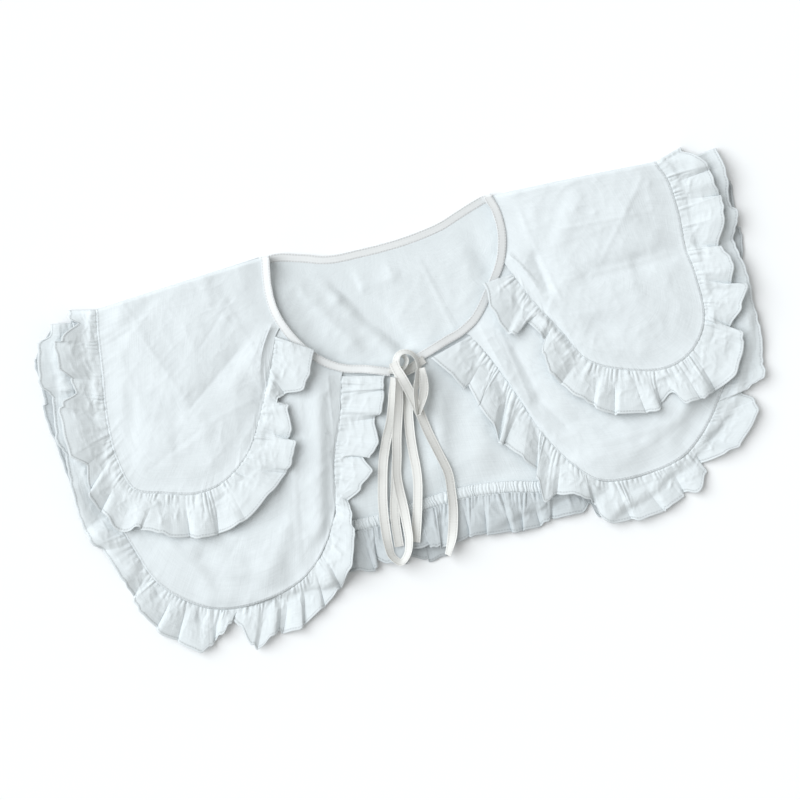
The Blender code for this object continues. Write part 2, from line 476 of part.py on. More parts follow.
# Back, from the table up: upper tier, lower tier, elastic casing, hem ruffle.
back_upper = panel(TABLE, BACK_UPPER, BIND_BACK, (), 0, 22, flat=True, crowd=0.1)
back_upper_frill = ruffle(TABLE, BACK_UPPER, plain_waves(seam_length(BACK_UPPER), 36, 24, 3, 2.5), 1,
                          SHOULDER_TIPS["upper"], bed_z=WALL / 2, rows=2)
for grid in (back_upper, back_upper_frill):
    TABLE.lay(grid)
back_lower = panel(TABLE, BACK_LOWER, BIND_BACK, BACK_LOWER_CREASES, BACK_LOFT, 28, crowd=0.09)
TABLE.lay(back_lower)
back_casing = casing(TABLE, BACK_LOWER)
back_lower_frill = ruffle(TABLE, BACK_LOWER, plain_waves(seam_length(BACK_LOWER), 18, BACK_RUFFLE_REACH, 3, 3.0), 1,
                          SHOULDER_TIPS["lower"], start=CASING_HEIGHT + 1.5, rows=2)
TABLE.lay(back_casing, WALL)
TABLE.lay(back_lower_frill)
TABLE.lay(strip, BINDING_THICK / 2)

# Fronts: each tier's panels, then its ruffles, over everything below.
front = {}
for side, turn, sections, bound, creases, folds in (
        ("left", -1, LOWER_LEFT, BIND_LEFT, LOWER_LEFT_CREASES, LOWER_LEFT_FOLDS),
        ("right", 1, LOWER_RIGHT, BIND_RIGHT, LOWER_RIGHT_CREASES, LOWER_RIGHT_FOLDS)):
    front["lower", side] = panel(TABLE, sections, bound, creases, FRONT_LOFT)
    front["lower", side][..., 2] += AIR * np.clip(front["lower", side][..., 1] / 60 - 1, 0.1, 1)
    tip = SHOULDER_TIPS["lower"][side == "right"]
    front["lower", side, "ruffle"] = ruffle(TABLE, sections, folds, turn, (None, tip))
    front["lower", side, "ruffle"][..., 2] += AIR * np.clip(front["lower", side, "ruffle"][..., 1] / 60 - 1, 0.1, 1)
for key in list(front):
    TABLE.lay(front[key])
for side, sections, bound, creases in (("left", UPPER_LEFT, BIND_LEFT, UPPER_LEFT_CREASES),
                                       ("right", UPPER_RIGHT, BIND_RIGHT, UPPER_RIGHT_CREASES)):
    front["upper", side] = panel(TABLE, sections, bound, creases, FRONT_LOFT, bow=CORNER_BOW[side])
high = PATH[:, 2] > NECK_FRONT_Z - 0.2
for chosen in (high & (PATH[:, 0] < 0), high & (PATH[:, 0] > 0)):
    TABLE.lay(np.stack([PATH[chosen, :3] + across[chosen] * k * BINDING_WIDTH / 2 for k in (-1, 0, 1)]),
              BINDING_THICK / 2)
for side, turn, sections, folds in (("left", -1, UPPER_LEFT, UPPER_LEFT_FOLDS),
                                    ("right", 1, UPPER_RIGHT, UPPER_RIGHT_FOLDS)):
    tip = SHOULDER_TIPS["upper"][side == "right"]
    front["upper", side, "ruffle"] = ruffle(TABLE, sections, folds, turn, (None, tip))
    TABLE.lay(front["upper", side])
    TABLE.lay(front["upper", side, "ruffle"])

# Shoulder folds: every front's end rolls down and every back's end rolls up, half way each.
BACK_ENDS = {}
for tier, reach, panel_grid, frills in (("upper", FOLD_REACH, back_upper, {"ruffle": back_upper_frill}),
                                        ("lower", FOLD_REACH - WALL - GAP * 1.5, back_lower,
                                         {"casing": back_casing, "ruffle": back_lower_frill})):
    for side, end in (("left", 0), ("right", -1)):
        line = panel_grid[-1, end, :2] - panel_grid[0, end, :2]
        out = np.array([-line[1], line[0]]) / np.linalg.norm(line) * (-1 if side == "left" else 1)
        panel_end = front[tier, side][:, -1].copy()
        frill_end = front[tier, side, "ruffle"][:, -1].copy()
        front[tier, side] = rolled(front[tier, side], panel_grid[:, end], out, reach, 1)
        under = np.vstack([grid[:, end] for grid in frills.values()])
        front[tier, side, "ruffle"] = rolled(front[tier, side, "ruffle"], under, out, reach, 1)
        turn = slice(None, None, -1 if side == "left" else 1)
        BACK_ENDS.setdefault((tier, "panel"), [panel_grid]).append((turn, panel_end, out, reach))
        for kind, grid in frills.items():
            BACK_ENDS.setdefault((tier, kind), [grid]).append((turn, frill_end, out, reach))
for (tier, kind), (grid, *ends) in BACK_ENDS.items():
    for turn, other, out, reach in ends:
        grid = rolled(grid[:, turn], other, out, reach, -1)[:, turn]
    cloth("back_elastic_casing" if kind == "casing" else f"back_{tier}_{kind}", grid)
for key, grid in front.items():
    cloth("front_{}_{}_{}".format(key[0], key[1], "ruffle" if len(key) > 2 else "panel"), grid)

# Ties: both tapes lie on the back and over each other, and their knot joins the binding's two ends.
KNOT_Z = TABLE.cover(*np.array(KNOT[:2])[:, None], 1)[0] + GAP + KNOT[4]
tape(TABLE, "tie_end_inner", TIE_END_INNER)
tape(TABLE, "tie_loop_long", TIE_LOOP_LONG, split=0.52, lift_ends=(1.0, 0.5), pinched=(True, True))
tape(TABLE, "tie_end_short", TIE_END_SHORT)
tape(TABLE, "tie_end_long", TIE_END_LONG, lift_ends=(-0.5, 0.0))
tape(TABLE, "tie_loop_short", TIE_LOOP_SHORT, lift_ends=(0.5, 0.5), pinched=(True, True))
x, y, *half = KNOT
z = KNOT_Z
bpy.ops.mesh.primitive_uv_sphere_add(segments=16, ring_count=9, radius=1.0, location=(0, 0, 0))
ball = bpy.context.object
mesh = ball.data
mesh.transform(Matrix.Translation((x * MM, y * MM, z * MM)) @ Matrix.Diagonal((*(h * MM for h in half), 1.0)))
bpy.data.objects.remove(ball, do_unlink=True)
place("neck_tie_knot", mesh, colour=(0.90, 0.90, 0.86))
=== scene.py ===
"""Looks of the two-tier cotton capelet collar, laid flat with its fronts up.

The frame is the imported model's: metres, +X along the laid collar, +Y to the neck's back, +Z up.
Tables are in millimetres and are turned into metres where a mesh is made.
"""
import math
from functools import partialmethod

import bpy
import numpy as np
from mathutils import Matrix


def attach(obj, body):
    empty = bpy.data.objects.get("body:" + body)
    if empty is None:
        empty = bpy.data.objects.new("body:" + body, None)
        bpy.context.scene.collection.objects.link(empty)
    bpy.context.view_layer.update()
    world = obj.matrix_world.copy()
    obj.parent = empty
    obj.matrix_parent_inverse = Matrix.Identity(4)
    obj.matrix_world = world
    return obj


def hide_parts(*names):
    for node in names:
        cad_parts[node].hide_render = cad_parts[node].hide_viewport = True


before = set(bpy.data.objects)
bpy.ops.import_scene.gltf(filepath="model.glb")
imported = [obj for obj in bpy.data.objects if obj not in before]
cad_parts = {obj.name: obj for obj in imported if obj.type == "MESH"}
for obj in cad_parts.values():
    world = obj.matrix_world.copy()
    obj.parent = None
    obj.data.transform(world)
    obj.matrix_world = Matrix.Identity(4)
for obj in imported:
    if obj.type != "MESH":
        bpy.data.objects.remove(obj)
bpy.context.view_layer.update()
MM = 0.001

# The board that the collar lies on: smooth, white and much larger than the view.
BOARD_SIZE, BOARD_DROP = 6.0, 0.0004  # metres, and how far it keeps below the lowest cloth
board_mesh = bpy.data.meshes.new("board")
board_mesh.from_pydata([(x * BOARD_SIZE / 2, y * BOARD_SIZE / 2, -BOARD_DROP)
                        for x, y in ((-1, -1), (1, -1), (1, 1), (-1, 1))], [], [(0, 1, 2, 3)])
board = bpy.data.objects.new("board", board_mesh)
bpy.context.scene.collection.objects.link(board)
board_white = bpy.data.materials.new("board_white")
board_white.use_nodes = True
board_shader = board_white.node_tree.nodes["Principled BSDF"]
board_shader.inputs["Base Color"].default_value = (0.93, 0.94, 0.95, 1)
board_shader.inputs["Roughness"].default_value = 0.9
board_mesh.materials.append(board_white)

# The camera looks straight down, turned so that the collar lies across the picture on a slant.
PICTURE_WIDTH = 0.6667  # of the cloth's plane, across the picture
LENS, FILM = 85.0, 36.0
PICTURE_CENTRE = (-0.0160, 0.0115)
TURN = -15.4  # degrees, of the picture's upright against the collar's
CLOTH_TOP = 0.008
camera = bpy.data.objects.new("camera", bpy.data.cameras.new("camera"))
camera.data.lens, camera.data.sensor_width = LENS, FILM
camera.location = (*PICTURE_CENTRE, CLOTH_TOP + PICTURE_WIDTH * LENS / FILM)
camera.rotation_euler = (0, 0, math.radians(TURN))
bpy.context.scene.collection.objects.link(camera)
bpy.context.scene.camera = camera

# One large soft lamp far off to the picture's left and a little above it, and an even white sky.
SKY, SKY_COLOUR = 0.49, (1.0, 1.0, 0.975, 1)
LAMP_STRENGTH, LAMP_COLOUR = 2.68, (0.96, 1.0, 1.03)
LAMP_SPREAD, LAMP_FROM = 58.0, (-0.95, 0.65, 1.15)  # degrees, and the way that it shines from
world = bpy.data.worlds.new("studio")
world.use_nodes = True
sky = world.node_tree.nodes["Background"]
sky.inputs["Color"].default_value, sky.inputs["Strength"].default_value = SKY_COLOUR, SKY
bpy.context.scene.world = world
lamp = bpy.data.objects.new("lamp", bpy.data.lights.new("lamp", "SUN"))
lamp.data.energy, lamp.data.angle, lamp.data.color = LAMP_STRENGTH, math.radians(LAMP_SPREAD), LAMP_COLOUR
lamp.location = LAMP_FROM
lamp.rotation_euler = (-lamp.location).to_track_quat("-Z", "Y").to_euler()
bpy.context.scene.collection.objects.link(lamp)
bpy.context.scene.view_settings.view_transform = "Standard"


# Upper back panel: plain-woven white cotton, the lowest layer, flat on the board. Its neck edge is caught in the
# binding and its outer edge is sewn to its ruffle.
WALL = 0.45  # the cloth as it is made here, a little over the real 0.3 mm
UPPER_SIDE = WALL * 0.7  # from a cloth's middle to just above its upper side
ON_BOARD = 0.5  # height of the lowest cloth's middle
AIR_GAP = 0.3  # between two layers
BINDING_WIDTH = 7.0
HELD = 1.2  # how much of a panel's neck edge is inside the binding
# columns: seam_x, seam_y, neck_x, neck_y
BACK_UPPER = (
    (-240, 148, -98, 154), (-249, 99, -97, 147), (-254, 34, -88, 143), (-231, -16, -74, 143), (-181, -55, -57, 137),
    (-127, -79, -37, 133.5), (-60, -85, -17, 134), (1, -84, 2, 133), (63, -79, 28, 134), (128, -63, 55, 137),
    (189, -28, 75, 143), (239, 28, 93, 148), (246, 90, 103, 147), (242, 143, 105, 153))
# Middle line of the binding along the back of the neck. columns: x, y, bearing into the cloth in degrees
BIND_BACK = (
    (-92.8, 153, -188), (-90.5, 153.6, -150), (-87, 153.8, -115), (-82, 153.2, -100), (-76, 151.6, -100),
    (-69, 149.2, -106), (-60, 146.2, -108), (-49, 142, -106), (-37, 139.6, -97), (-17, 138.6, -90),
    (2, 138, -88), (28, 138.8, -84), (55, 142.4, -74), (70, 147, -72), (81, 150.4, -73), (90, 153, -72),
    (96, 154.3, -50), (99.5, 153.6, 0))


def smooth(rows, steps=24):
    """Centripetal Catmull-Rom curve through the rows: each span is a Hermite cubic of its end slopes."""
    p = np.asarray(rows, float)
    q = np.vstack([2 * p[0] - p[1], p, 2 * p[-1] - p[-2]])
    t = np.linspace(0, 1, steps, endpoint=False)[:, None]
    spans = []
    for a, b, c, d in zip(q[:-3], q[1:-2], q[2:-1], q[3:]):
        k = [math.sqrt(np.linalg.norm(v[:2])) + 1e-9 for v in (b - a, c - b, d - c)]
        slope_b = ((b - a) / k[0] - (c - a) / (k[0] + k[1]) + (c - b) / k[1]) * k[1]
        slope_c = ((c - b) / k[1] - (d - b) / (k[1] + k[2]) + (d - c) / k[2]) * k[1]
        spans.append((2 * t**3 - 3 * t**2 + 1) * b + (t**3 - 2 * t**2 + t) * slope_b
                     + (3 * t**2 - 2 * t**3) * c + (t**3 - t**2) * slope_c)
    return np.vstack(spans + [p[-1:]])


def unit(vectors):
    """Vectors scaled to length 1."""
    return vectors / np.linalg.norm(vectors, axis=-1, keepdims=True)


def run_along(points):
    """How far along its line, or its column of a grid, each point lies: the sum of the steps before it."""
    steps = np.linalg.norm(np.diff(points, axis=0), axis=-1)
    return np.concatenate([np.zeros_like(steps[:1]), np.cumsum(steps, axis=0)])


def soft_step(t):
    """From 0 to 1 with no slope at either end: a cubic of t, clipped."""
    t = np.clip(t, 0, 1)
    return t**2 * (3 - 2 * t)


class Curve:
    """A curve in plan, measured along its length in millimetres."""

    def __init__(self, rows):
        self.points = smooth(rows)
        self.run = run_along(self.points[:, :2])
        self.length = self.run[-1]

    def at(self, s):
        return np.stack([np.interp(s, self.run, column) for column in self.points.T], -1)

    def along(self, s, reach=4.0):
        return unit((self.at(np.minimum(s + reach, self.length)) - self.at(np.maximum(s - reach, 0)))[..., :2])

    def right(self, s, reach=4.0):
        """Unit vectors square to the curve, on the right of its run."""
        t = self.along(s, reach)
        return np.column_stack([t[:, 1], -t[:, 0]])


class Pile:
    """The top of everything laid so far, as heights on a raster over the board."""

    def __init__(self, x=(-330, 330), y=(-200, 200), cell=2.0):
        self.origin, self.cell = np.array([x[0], y[0]], float), cell
        self.top = np.zeros((int((y[1] - y[0]) / cell), int((x[1] - x[0]) / cell)))
        self.kept = {}

    def lay(self, grid, half=UPPER_SIDE, fill=3):
        """Raise the cells beneath a grid, filled in between its points, to its upper side."""
        fine = grid
        for axis in (0, 1):
            n = fine.shape[axis]
            where = np.linspace(0, n - 1, (n - 1) * fill + 1)
            low = np.minimum(where.astype(int), n - 2)
            part = (where - low).reshape([-1 if k == axis else 1 for k in range(3)])
            fine = np.take(fine, low, axis) * (1 - part) + np.take(fine, low + 1, axis) * part
        cell = ((fine[..., :2] - self.origin) / self.cell).round().astype(int)
        np.maximum.at(self.top, (cell[..., 1].ravel(), cell[..., 0].ravel()), fine[..., 2].ravel() + half)
        self.kept = {}

    def cover(self, x, y, reach):
        """A smooth height over all that is laid: the highest within reach cells, then two means over half discs."""
        if reach not in self.kept:
            best = self.disc(self.top, reach, np.maximum)
            for _ in range(2):
                best = self.disc(best, max(reach // 2, 1), np.add)
            self.kept[reach] = best
        field = self.kept[reach]
        u = np.clip((x - self.origin[0]) / self.cell, 0, field.shape[1] - 1.001)
        v = np.clip((y - self.origin[1]) / self.cell, 0, field.shape[0] - 1.001)
        i, j = v.astype(int), u.astype(int)
        a, b = v - i, u - j
        return ((field[i, j] * (1 - b) + field[i, j + 1] * b) * (1 - a)
                + (field[i + 1, j] * (1 - b) + field[i + 1, j + 1] * b) * a)

    def bed(self, x, y, reach):
        """The height of a cloth's middle where it lies on the pile."""
        return self.cover(x, y, reach) + AIR_GAP + WALL

    @staticmethod
    def disc(field, reach, join):
        out, count = field.copy(), 1
        for dy in range(-reach, reach + 1):
            for dx in range(-reach, reach + 1):
                if (dx or dy) and dx * dx + dy * dy <= reach * reach + 0.5:
                    out = join(out, np.roll(field, (dy, dx), (0, 1)))
                    count += 1
        return out / count if join is np.add else out


def creased(x, y, creases):
    """Sum of soft troughs and ridges, each a bell across its own line."""
    z = np.zeros_like(x)
    for ax, ay, bx, by, width, height in creases:
        d = np.array([bx - ax, by - ay], float)
        t = np.clip(((x - ax) * d[0] + (y - ay) * d[1]) / (d @ d), 0, 1)
        z += height * np.exp(-(np.hypot(x - ax - t * d[0], y - ay - t * d[1]) / width) ** 2)
    return z


def crumple(x, y, seed, size, height, waves, sharp):
    """Long narrow crests at random bearings, bent and faded by slower waves: the mean of (1 - |sine|)**sharp."""
    rng = np.random.default_rng(seed)
    bearings, phases = rng.uniform(0, 2 * np.pi, waves), rng.uniform(0, 6, waves)
    z = np.zeros_like(x)
    for bearing, phase, stretch in zip(bearings, phases, rng.uniform(0.7, 1.5, waves)):
        across = (x * math.cos(bearing) + y * math.sin(bearing)) / (size * stretch)
        along = (y * math.cos(bearing) - x * math.sin(bearing)) / (size * stretch)
        bend, fade = 0.8 * np.sin(1.9 * along + phase), 0.5 + 0.5 * np.sin(1.3 * along * np.pi + 3 * phase)
        z += (1 - np.abs(np.sin(np.pi * across + phase + bend))) ** sharp * fade
    return z / waves * height


def wander(s, seed, size):
    """A slow random swing between -1 and 1: the mean of three sines whose lengths are about size."""
    phases = np.random.default_rng(seed).uniform(0, 6.3, 3)
    return sum(np.sin(2 * np.pi * s / (size * k) + p) for k, p in zip((0.7, 1.0, 1.6), phases)) / 3


MOST_GATHERS = 400


def puckers(s, v, seed, pitch=4.2, slant=6.0):
    """Gathers at a seam, from 0 to 1: rounded ridges that slant and die out as v grows, one in four later."""
    rng = np.random.default_rng(seed)
    line = (s + slant * v * wander(s, seed, 40)) / pitch + 0.8 * wander(s, seed + 1, 23) + 1
    height = rng.uniform(0.25, 1, MOST_GATHERS)
    reach = rng.uniform(0.10, 0.26, MOST_GATHERS) + 0.32 * (rng.random(MOST_GATHERS) > 0.75)
    n = np.clip(line, 0, MOST_GATHERS - 1).astype(int)
    return height[n] * np.abs(np.sin(np.pi * line)) ** 1.2 * np.exp(-(v / reach[n]) ** 2)


PANEL_CELLS = 5  # how far a panel bridges the steps beneath it, in cells of the pile
EDGE_REACH, LINE_ENDS = 12.0, 8  # mm within which the binding holds an edge, and points added to its line
BOW_SHARE = 0.2  # of a panel's width, from its front edge
FADE_RATE, FLAT_SPAN = 7.0, 70.0  # folds fade over a seventh of the span, and more where it is under 70 mm
PUCKER_HEIGHT, PUCKER_FADE = 0.9, 20.0
ROUNDING = 0.6  # rounds off what would dip beneath the bed
# columns: seed's step, size, height, waves, sharpness
PANEL_CRUMPLES = ((0, 75, 3.6, 7, 2.2), (50, 30, 1.6, 7, 2.2), (80, 15, 1.3, 7, 4), (90, 48, 2.0, 9, 9))


def panel(sections, bound, creases, loft, press=1.0, bed=None, bow=(0, 0), crowd=0.0, seed=1, cols=230, rows=110):
    """A panel ruled between the neck's edge, kept clear of the binding, and its outer seam.

    It lies on the pile, lofted in its middle, with its creases, random crumples, and puckers along the seam.
    With no loft it is flat at bed. bow swings its middle sideways, crowd draws its columns to the ends.
    """
    sections = np.asarray(sections, float)
    seam, neck = Curve(sections[:, :2]), Curve(sections[:, 2:])
    u = np.linspace(0, 1, cols)
    u = u - crowd * np.sin(2 * np.pi * u)
    v = np.linspace(0, 1, rows)[:, None]
    edge, line = neck.at(u * neck.length), Curve(bound).points
    beyond = np.arange(1, LINE_ENDS + 1)[:, None]
    before, after = (np.column_stack([line[end, :2] + beyond * unit(line[end, :2] - line[inward, :2]),
                                      np.full(LINE_ENDS, line[end, 2])]) for end, inward in ((0, 1), (-1, -2)))
    line = np.vstack([before[::-1], line, after])
    for _ in range(3):
        away = edge[:, None] - line[None, :, :2]
        near = np.linalg.norm(away, axis=2).argmin(1)
        d, bearing = away[np.arange(cols), near], np.radians(line[near, 2])
        across = np.column_stack([np.cos(bearing), np.sin(bearing)])
        far = np.linalg.norm(d, axis=1)[:, None]
        away = np.where((d * across).sum(1)[:, None] > 0.5, d / np.maximum(far, 0.1), across)
        edge = np.where(far > EDGE_REACH, edge, line[near, :2] + away * (BINDING_WIDTH / 2 - HELD))
    plan = edge[None] * (1 - v[..., None]) + seam.at(u * seam.length)[None] * v[..., None]
    plan = plan + np.asarray(bow) * np.sin(np.pi * v)[..., None] * (u * np.exp(-u / BOW_SHARE))[None, :, None]
    x, y = plan[..., 0], plan[..., 1]
    if not loft:
        return np.dstack([x, y, np.full_like(x, bed)])
    span = np.hypot(x[-1] - x[0], y[-1] - y[0])
    inner = soft_step(np.minimum(v, 1 - v) * FADE_RATE) * np.clip(span / FLAT_SPAN, 0, 1) ** 2
    form = (loft * np.sin(np.pi * v) ** 0.7 + press * creased(x, y, creases)
            + sum(crumple(x, y, seed + step, *how) for step, *how in PANEL_CRUMPLES))
    lifted = 0.5 * (form + np.sqrt(form**2 + ROUNDING))
    pucker = PUCKER_HEIGHT * puckers(u * seam.length, (1 - v) * span / PUCKER_FADE, seed)
    return np.dstack([x, y, PILE.bed(x, y, PANEL_CELLS) + inner * lifted + pucker])


class Field:
    """A shader socket that takes part in sums: an operator on it adds its Math node."""

    def __init__(self, tree, socket=None):
        self.tree, self.socket = tree, socket

    def node(self, kind, settings, inputs, output=0):
        made = self.tree.nodes.new(kind)
        for key, value in settings.items():
            setattr(made, key, value)
        for key, value in inputs.items():
            if isinstance(value, Field):
                self.tree.links.new(value.socket, made.inputs[key])
            else:
                made.inputs[key].default_value = value
        return Field(self.tree, made.outputs[output])

    def math(self, operation, *others):
        return self.node("ShaderNodeMath", {"operation": operation}, dict(enumerate((self, *others))))

    def __rsub__(self, other):
        return self.math("MULTIPLY", -1.0) + other

    __add__ = __radd__ = partialmethod(math, "ADD")
    __mul__ = __rmul__ = partialmethod(math, "MULTIPLY")
    __sub__ = partialmethod(math, "SUBTRACT")
    __truediv__ = partialmethod(math, "DIVIDE")
    __lt__ = partialmethod(math, "LESS_THAN")


YARN = 0.42  # mm from yarn to yarn
STITCH_HALF, STITCH_SHARE = 0.55, 0.72  # mm to each side of a row, and how much of its step is thread
FINISH = {"Roughness": 0.82, "Specular IOR Level": 0.25, "Sheen Weight": 0.12, "Sheen Roughness": 0.5}


def cotton(name, colour, stitches, painted_rim_light=None):
    """White cotton: a plain weave and slubs as bump, faint streaks along its yarns, and rows of sunken stitches,
    darkened with painted shade.

    It reads the piece's own map, in metres: U along the seam and V away from it. stitches are pairs of a row's
    V and its step, and painted_rim_light is the V of a band's middle and half its width, both in millimetres: it
    paints a highlight along the band's edges and shade along its middle.
    """
    mat = bpy.data.materials.new(name)
    mat.use_nodes = True
    shader = mat.node_tree.nodes["Principled BSDF"]
    field = Field(mat.node_tree)
    place = field.node("ShaderNodeUVMap", {"uv_map": "cloth"}, {})
    u, v = (field.node("ShaderNodeSeparateXYZ", {}, {0: place}, output) for output in (0, 1))
    weave = (u * (2 * math.pi / (YARN * MM))).math("SINE") * (v * (2 * math.pi / (YARN * MM))).math("SINE")
    spots = field.node("ShaderNodeTexCoord", {}, {}, "Object")
    cloud = field.node("ShaderNodeTexNoise", {}, {"Vector": spots, "Scale": 14.0, "Detail": 3.0})
    slub = field.node("ShaderNodeTexNoise", {}, {"Vector": spots, "Scale": 420.0, "Detail": 4.0, "Roughness": 0.6})
    streaks, sunk_and_painted_shade = -1.0, 0.0
    for scale in ((30.0, 900.0, 1.0), (900.0, 30.0, 1.0)):
        yarns = field.node("ShaderNodeMapping", {}, {"Vector": place, "Scale": scale})
        streaks = field.node("ShaderNodeTexNoise", {}, {"Vector": yarns, "Scale": 1.0, "Detail": 2.0}) + streaks
    for offset, step in stitches:
        near = (v - offset * MM).math("ABSOLUTE") < STITCH_HALF * MM
        sunk_and_painted_shade = near * ((u / (step * MM)).math("FRACT") < STITCH_SHARE) + sunk_and_painted_shade
    # Painted shade: the stitch rows are darkened, as their grooves would be in shade.
    tone = (cloud - 0.5) * 0.04 + (slub - 0.5) * 0.03 + streaks * 0.10 + 1.0 - sunk_and_painted_shade * 0.15
    # Painted highlight and shade: a band is made lighter towards its edges and darker in its middle.
    if painted_rim_light:
        edge = (v - painted_rim_light[0] * MM).math("ABSOLUTE") / (painted_rim_light[1] * MM)
        tone = tone + (edge * edge * edge - 0.5) * 0.2
    grey = field.node("ShaderNodeCombineColor", {}, {0: tone, 1: tone, 2: tone})
    tinted = field.node("ShaderNodeMix", {"data_type": "RGBA", "blend_type": "MULTIPLY"},
                        {0: 1.0, 6: (*colour, 1), 7: grey}, 2)
    mat.node_tree.links.new(tinted.socket, shader.inputs["Base Color"])
    relief = weave * 0.012 + (slub - 0.5) * 0.12 + streaks * 0.16 - sunk_and_painted_shade * 0.34
    bump = field.node("ShaderNodeBump", {}, {"Strength": 1.0, "Distance": MM, "Height": relief})
    mat.node_tree.links.new(bump.socket, shader.inputs["Normal"])
    for socket, value in FINISH.items():
        shader.inputs[socket].default_value = value
    return mat


def place(name, node, mesh, chart, material, slot):
    """Give a mesh its map, a pair for each loop, and its material, and put it in the scene for its solid."""
    mesh.uv_layers.new(name="cloth").data.foreach_set("uv", chart.ravel().astype(np.float32))
    mesh.shade_smooth()
    mesh.materials.append(material)
    piece = bpy.data.objects.new(name, mesh)
    bpy.context.scene.collection.objects.link(piece)
    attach(piece, "root")
    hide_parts(node)
    return piece


def sew(name, node, grid, material, slot, seam_row=-1):
    """A grid of points as cloth: a fine mesh with its own map, given the cloth's thickness.

    On the map U runs along the seam's row of the grid and V away from it, both in metres.
    """
    rows, cols = grid.shape[:2]
    index = np.arange(rows * cols).reshape(rows, cols)
    quads = np.stack([index[:-1, :-1], index[:-1, 1:], index[1:, 1:], index[1:, :-1]], -1).reshape(-1, 4)
    p, q = grid[:-1, 1:] - grid[:-1, :-1], grid[1:, :-1] - grid[:-1, :-1]
    if np.cross(p, q)[..., 2].sum() < 0:
        quads = quads[:, ::-1]
    mesh = bpy.data.meshes.new(name)
    mesh.from_pydata((grid.reshape(-1, 3) * MM).tolist(), [], quads.tolist())
    run, down = run_along(grid[seam_row]), run_along(grid)
    if seam_row == -1:
        down = down[-1] - down
    chart = np.dstack([np.broadcast_to(run, (rows, cols)), down]).reshape(-1, 2) * MM
    piece = place(name, node, mesh, chart[quads.ravel()], material, slot)
    thickness = piece.modifiers.new("thickness", "SOLIDIFY")
    thickness.thickness, thickness.offset = WALL * MM, 0.0
    return piece


def lay_panel(name, node, grid, fabric):
    """Sew a panel."""
    piece = sew(name, node, grid, fabric, "cotton_panel")
    return piece


PANEL_COTTON = cotton("panel_cotton", (0.745, 0.79, 0.812), ((1.6, 2.6),))
# Painted shade: the back's cotton is a darker copy of the fronts', for the shade that the back lies in.
SHADED_BACK_COTTON = cotton("shaded_back_cotton", (0.725, 0.77, 0.79), ((1.6, 2.6),))
PILE = Pile()
back_upper = panel(BACK_UPPER, BIND_BACK, (), 0, bed=ON_BOARD, crowd=0.1, cols=120, rows=30)
PILE.lay(back_upper)


# Upper back ruffle: a strip of the same cotton, gathered on the panel's edge. It hides under the lower tier,
# apart from its hem below the tie ends.
SEAM_GAP = 0.3  # between two sewn pieces
TUCK = -1.1  # how far a ruffle's first row lies beneath the panel's edge
BACK_RUFFLE_PITCH, BACK_RUFFLE_REACH, BACK_HEM_SWING = 18.0, 24.0, 3
# columns: along the seam, reach from seam to hem, lean along the seam, lift of the hem
UPPER_HEM_SEEN = (
    (350, 24, 0, 0), (360, 30, 0, 1), (368, 37, 0, 0.3), (376, 36, 0, 1.2), (383, 32, 0, 0.2), (391, 38, 0, 1.4),
    (398, 41, 0, 0.3), (406, 40, 0, 1.2), (413, 33, 0, 0.2), (422, 26, 0, 0))
# Where the outer corners of a tier's ruffles lie, at the left and the right shoulder. columns: x, y
SHOULDER_TIPS = {"upper": ((-263, 154), (266, 149.5)), "lower": ((-280, 147.5), (294, 142.5))}


def back_folds(sections, seen, hidden_to, hidden_from, pitch, reach, lift):
    """The fold table of a back ruffle: the rows that the photo shows, and even folds to each side of them."""
    length = Curve(np.asarray(sections, float)[:, :2]).length
    count = round((length - 8) / pitch) | 1
    even = [(s, reach - BACK_HEM_SWING * (i % 2), 0, lift * (i % 2))
            for i, s in enumerate(np.linspace(0, length, count))]
    return [row for row in even if row[0] < hidden_to] + list(seen) + [row for row in even if row[0] > hidden_from]


def between(where, values, pleat=False):
    """Values between whole numbers, with a cosine's ease. A pleat is round at its high ones, sharp at its low."""
    low = np.minimum(where.astype(int), len(values) - 2)
    t, first, second = where - low, values[low], values[low + 1]
    part = 0.5 - 0.5 * np.cos(np.pi * t)
    if pleat:
        part = 0.25 * t + 0.75 * np.where(second > first, np.sin(np.pi / 2 * t), 1 - np.cos(np.pi / 2 * t))
    return first + (second - first) * part


RUFFLE_CELLS = 3  # how far a ruffle bridges the steps beneath it, in cells of the pile
SLIP, SLIP_MOST = 0.8, 0.3  # of the way to the crest beside it, and of its own reach
PLEAT_BIRTH = (0.04, 0.36)  # part of the strip's width at which a pleat parts from the seam
RISE_FROM, RISE_OVER = 0.05, 0.35  # parts of its width in which a strip comes up onto the pile
HEM_WAVE, HEM_RIDGE, HEM_AT, HEM_HALF = 0.7, 0.3, 0.96, 0.02
LOWEST_CLOTH = WALL * 0.6  # a cloth's middle, just clear of the board
# columns: seed's step, size, height, waves, sharpness
RUFFLE_DENTS = ((9, 26, 3.0, 7, 2.2), (19, 13, 3.4, 7, 3.5))


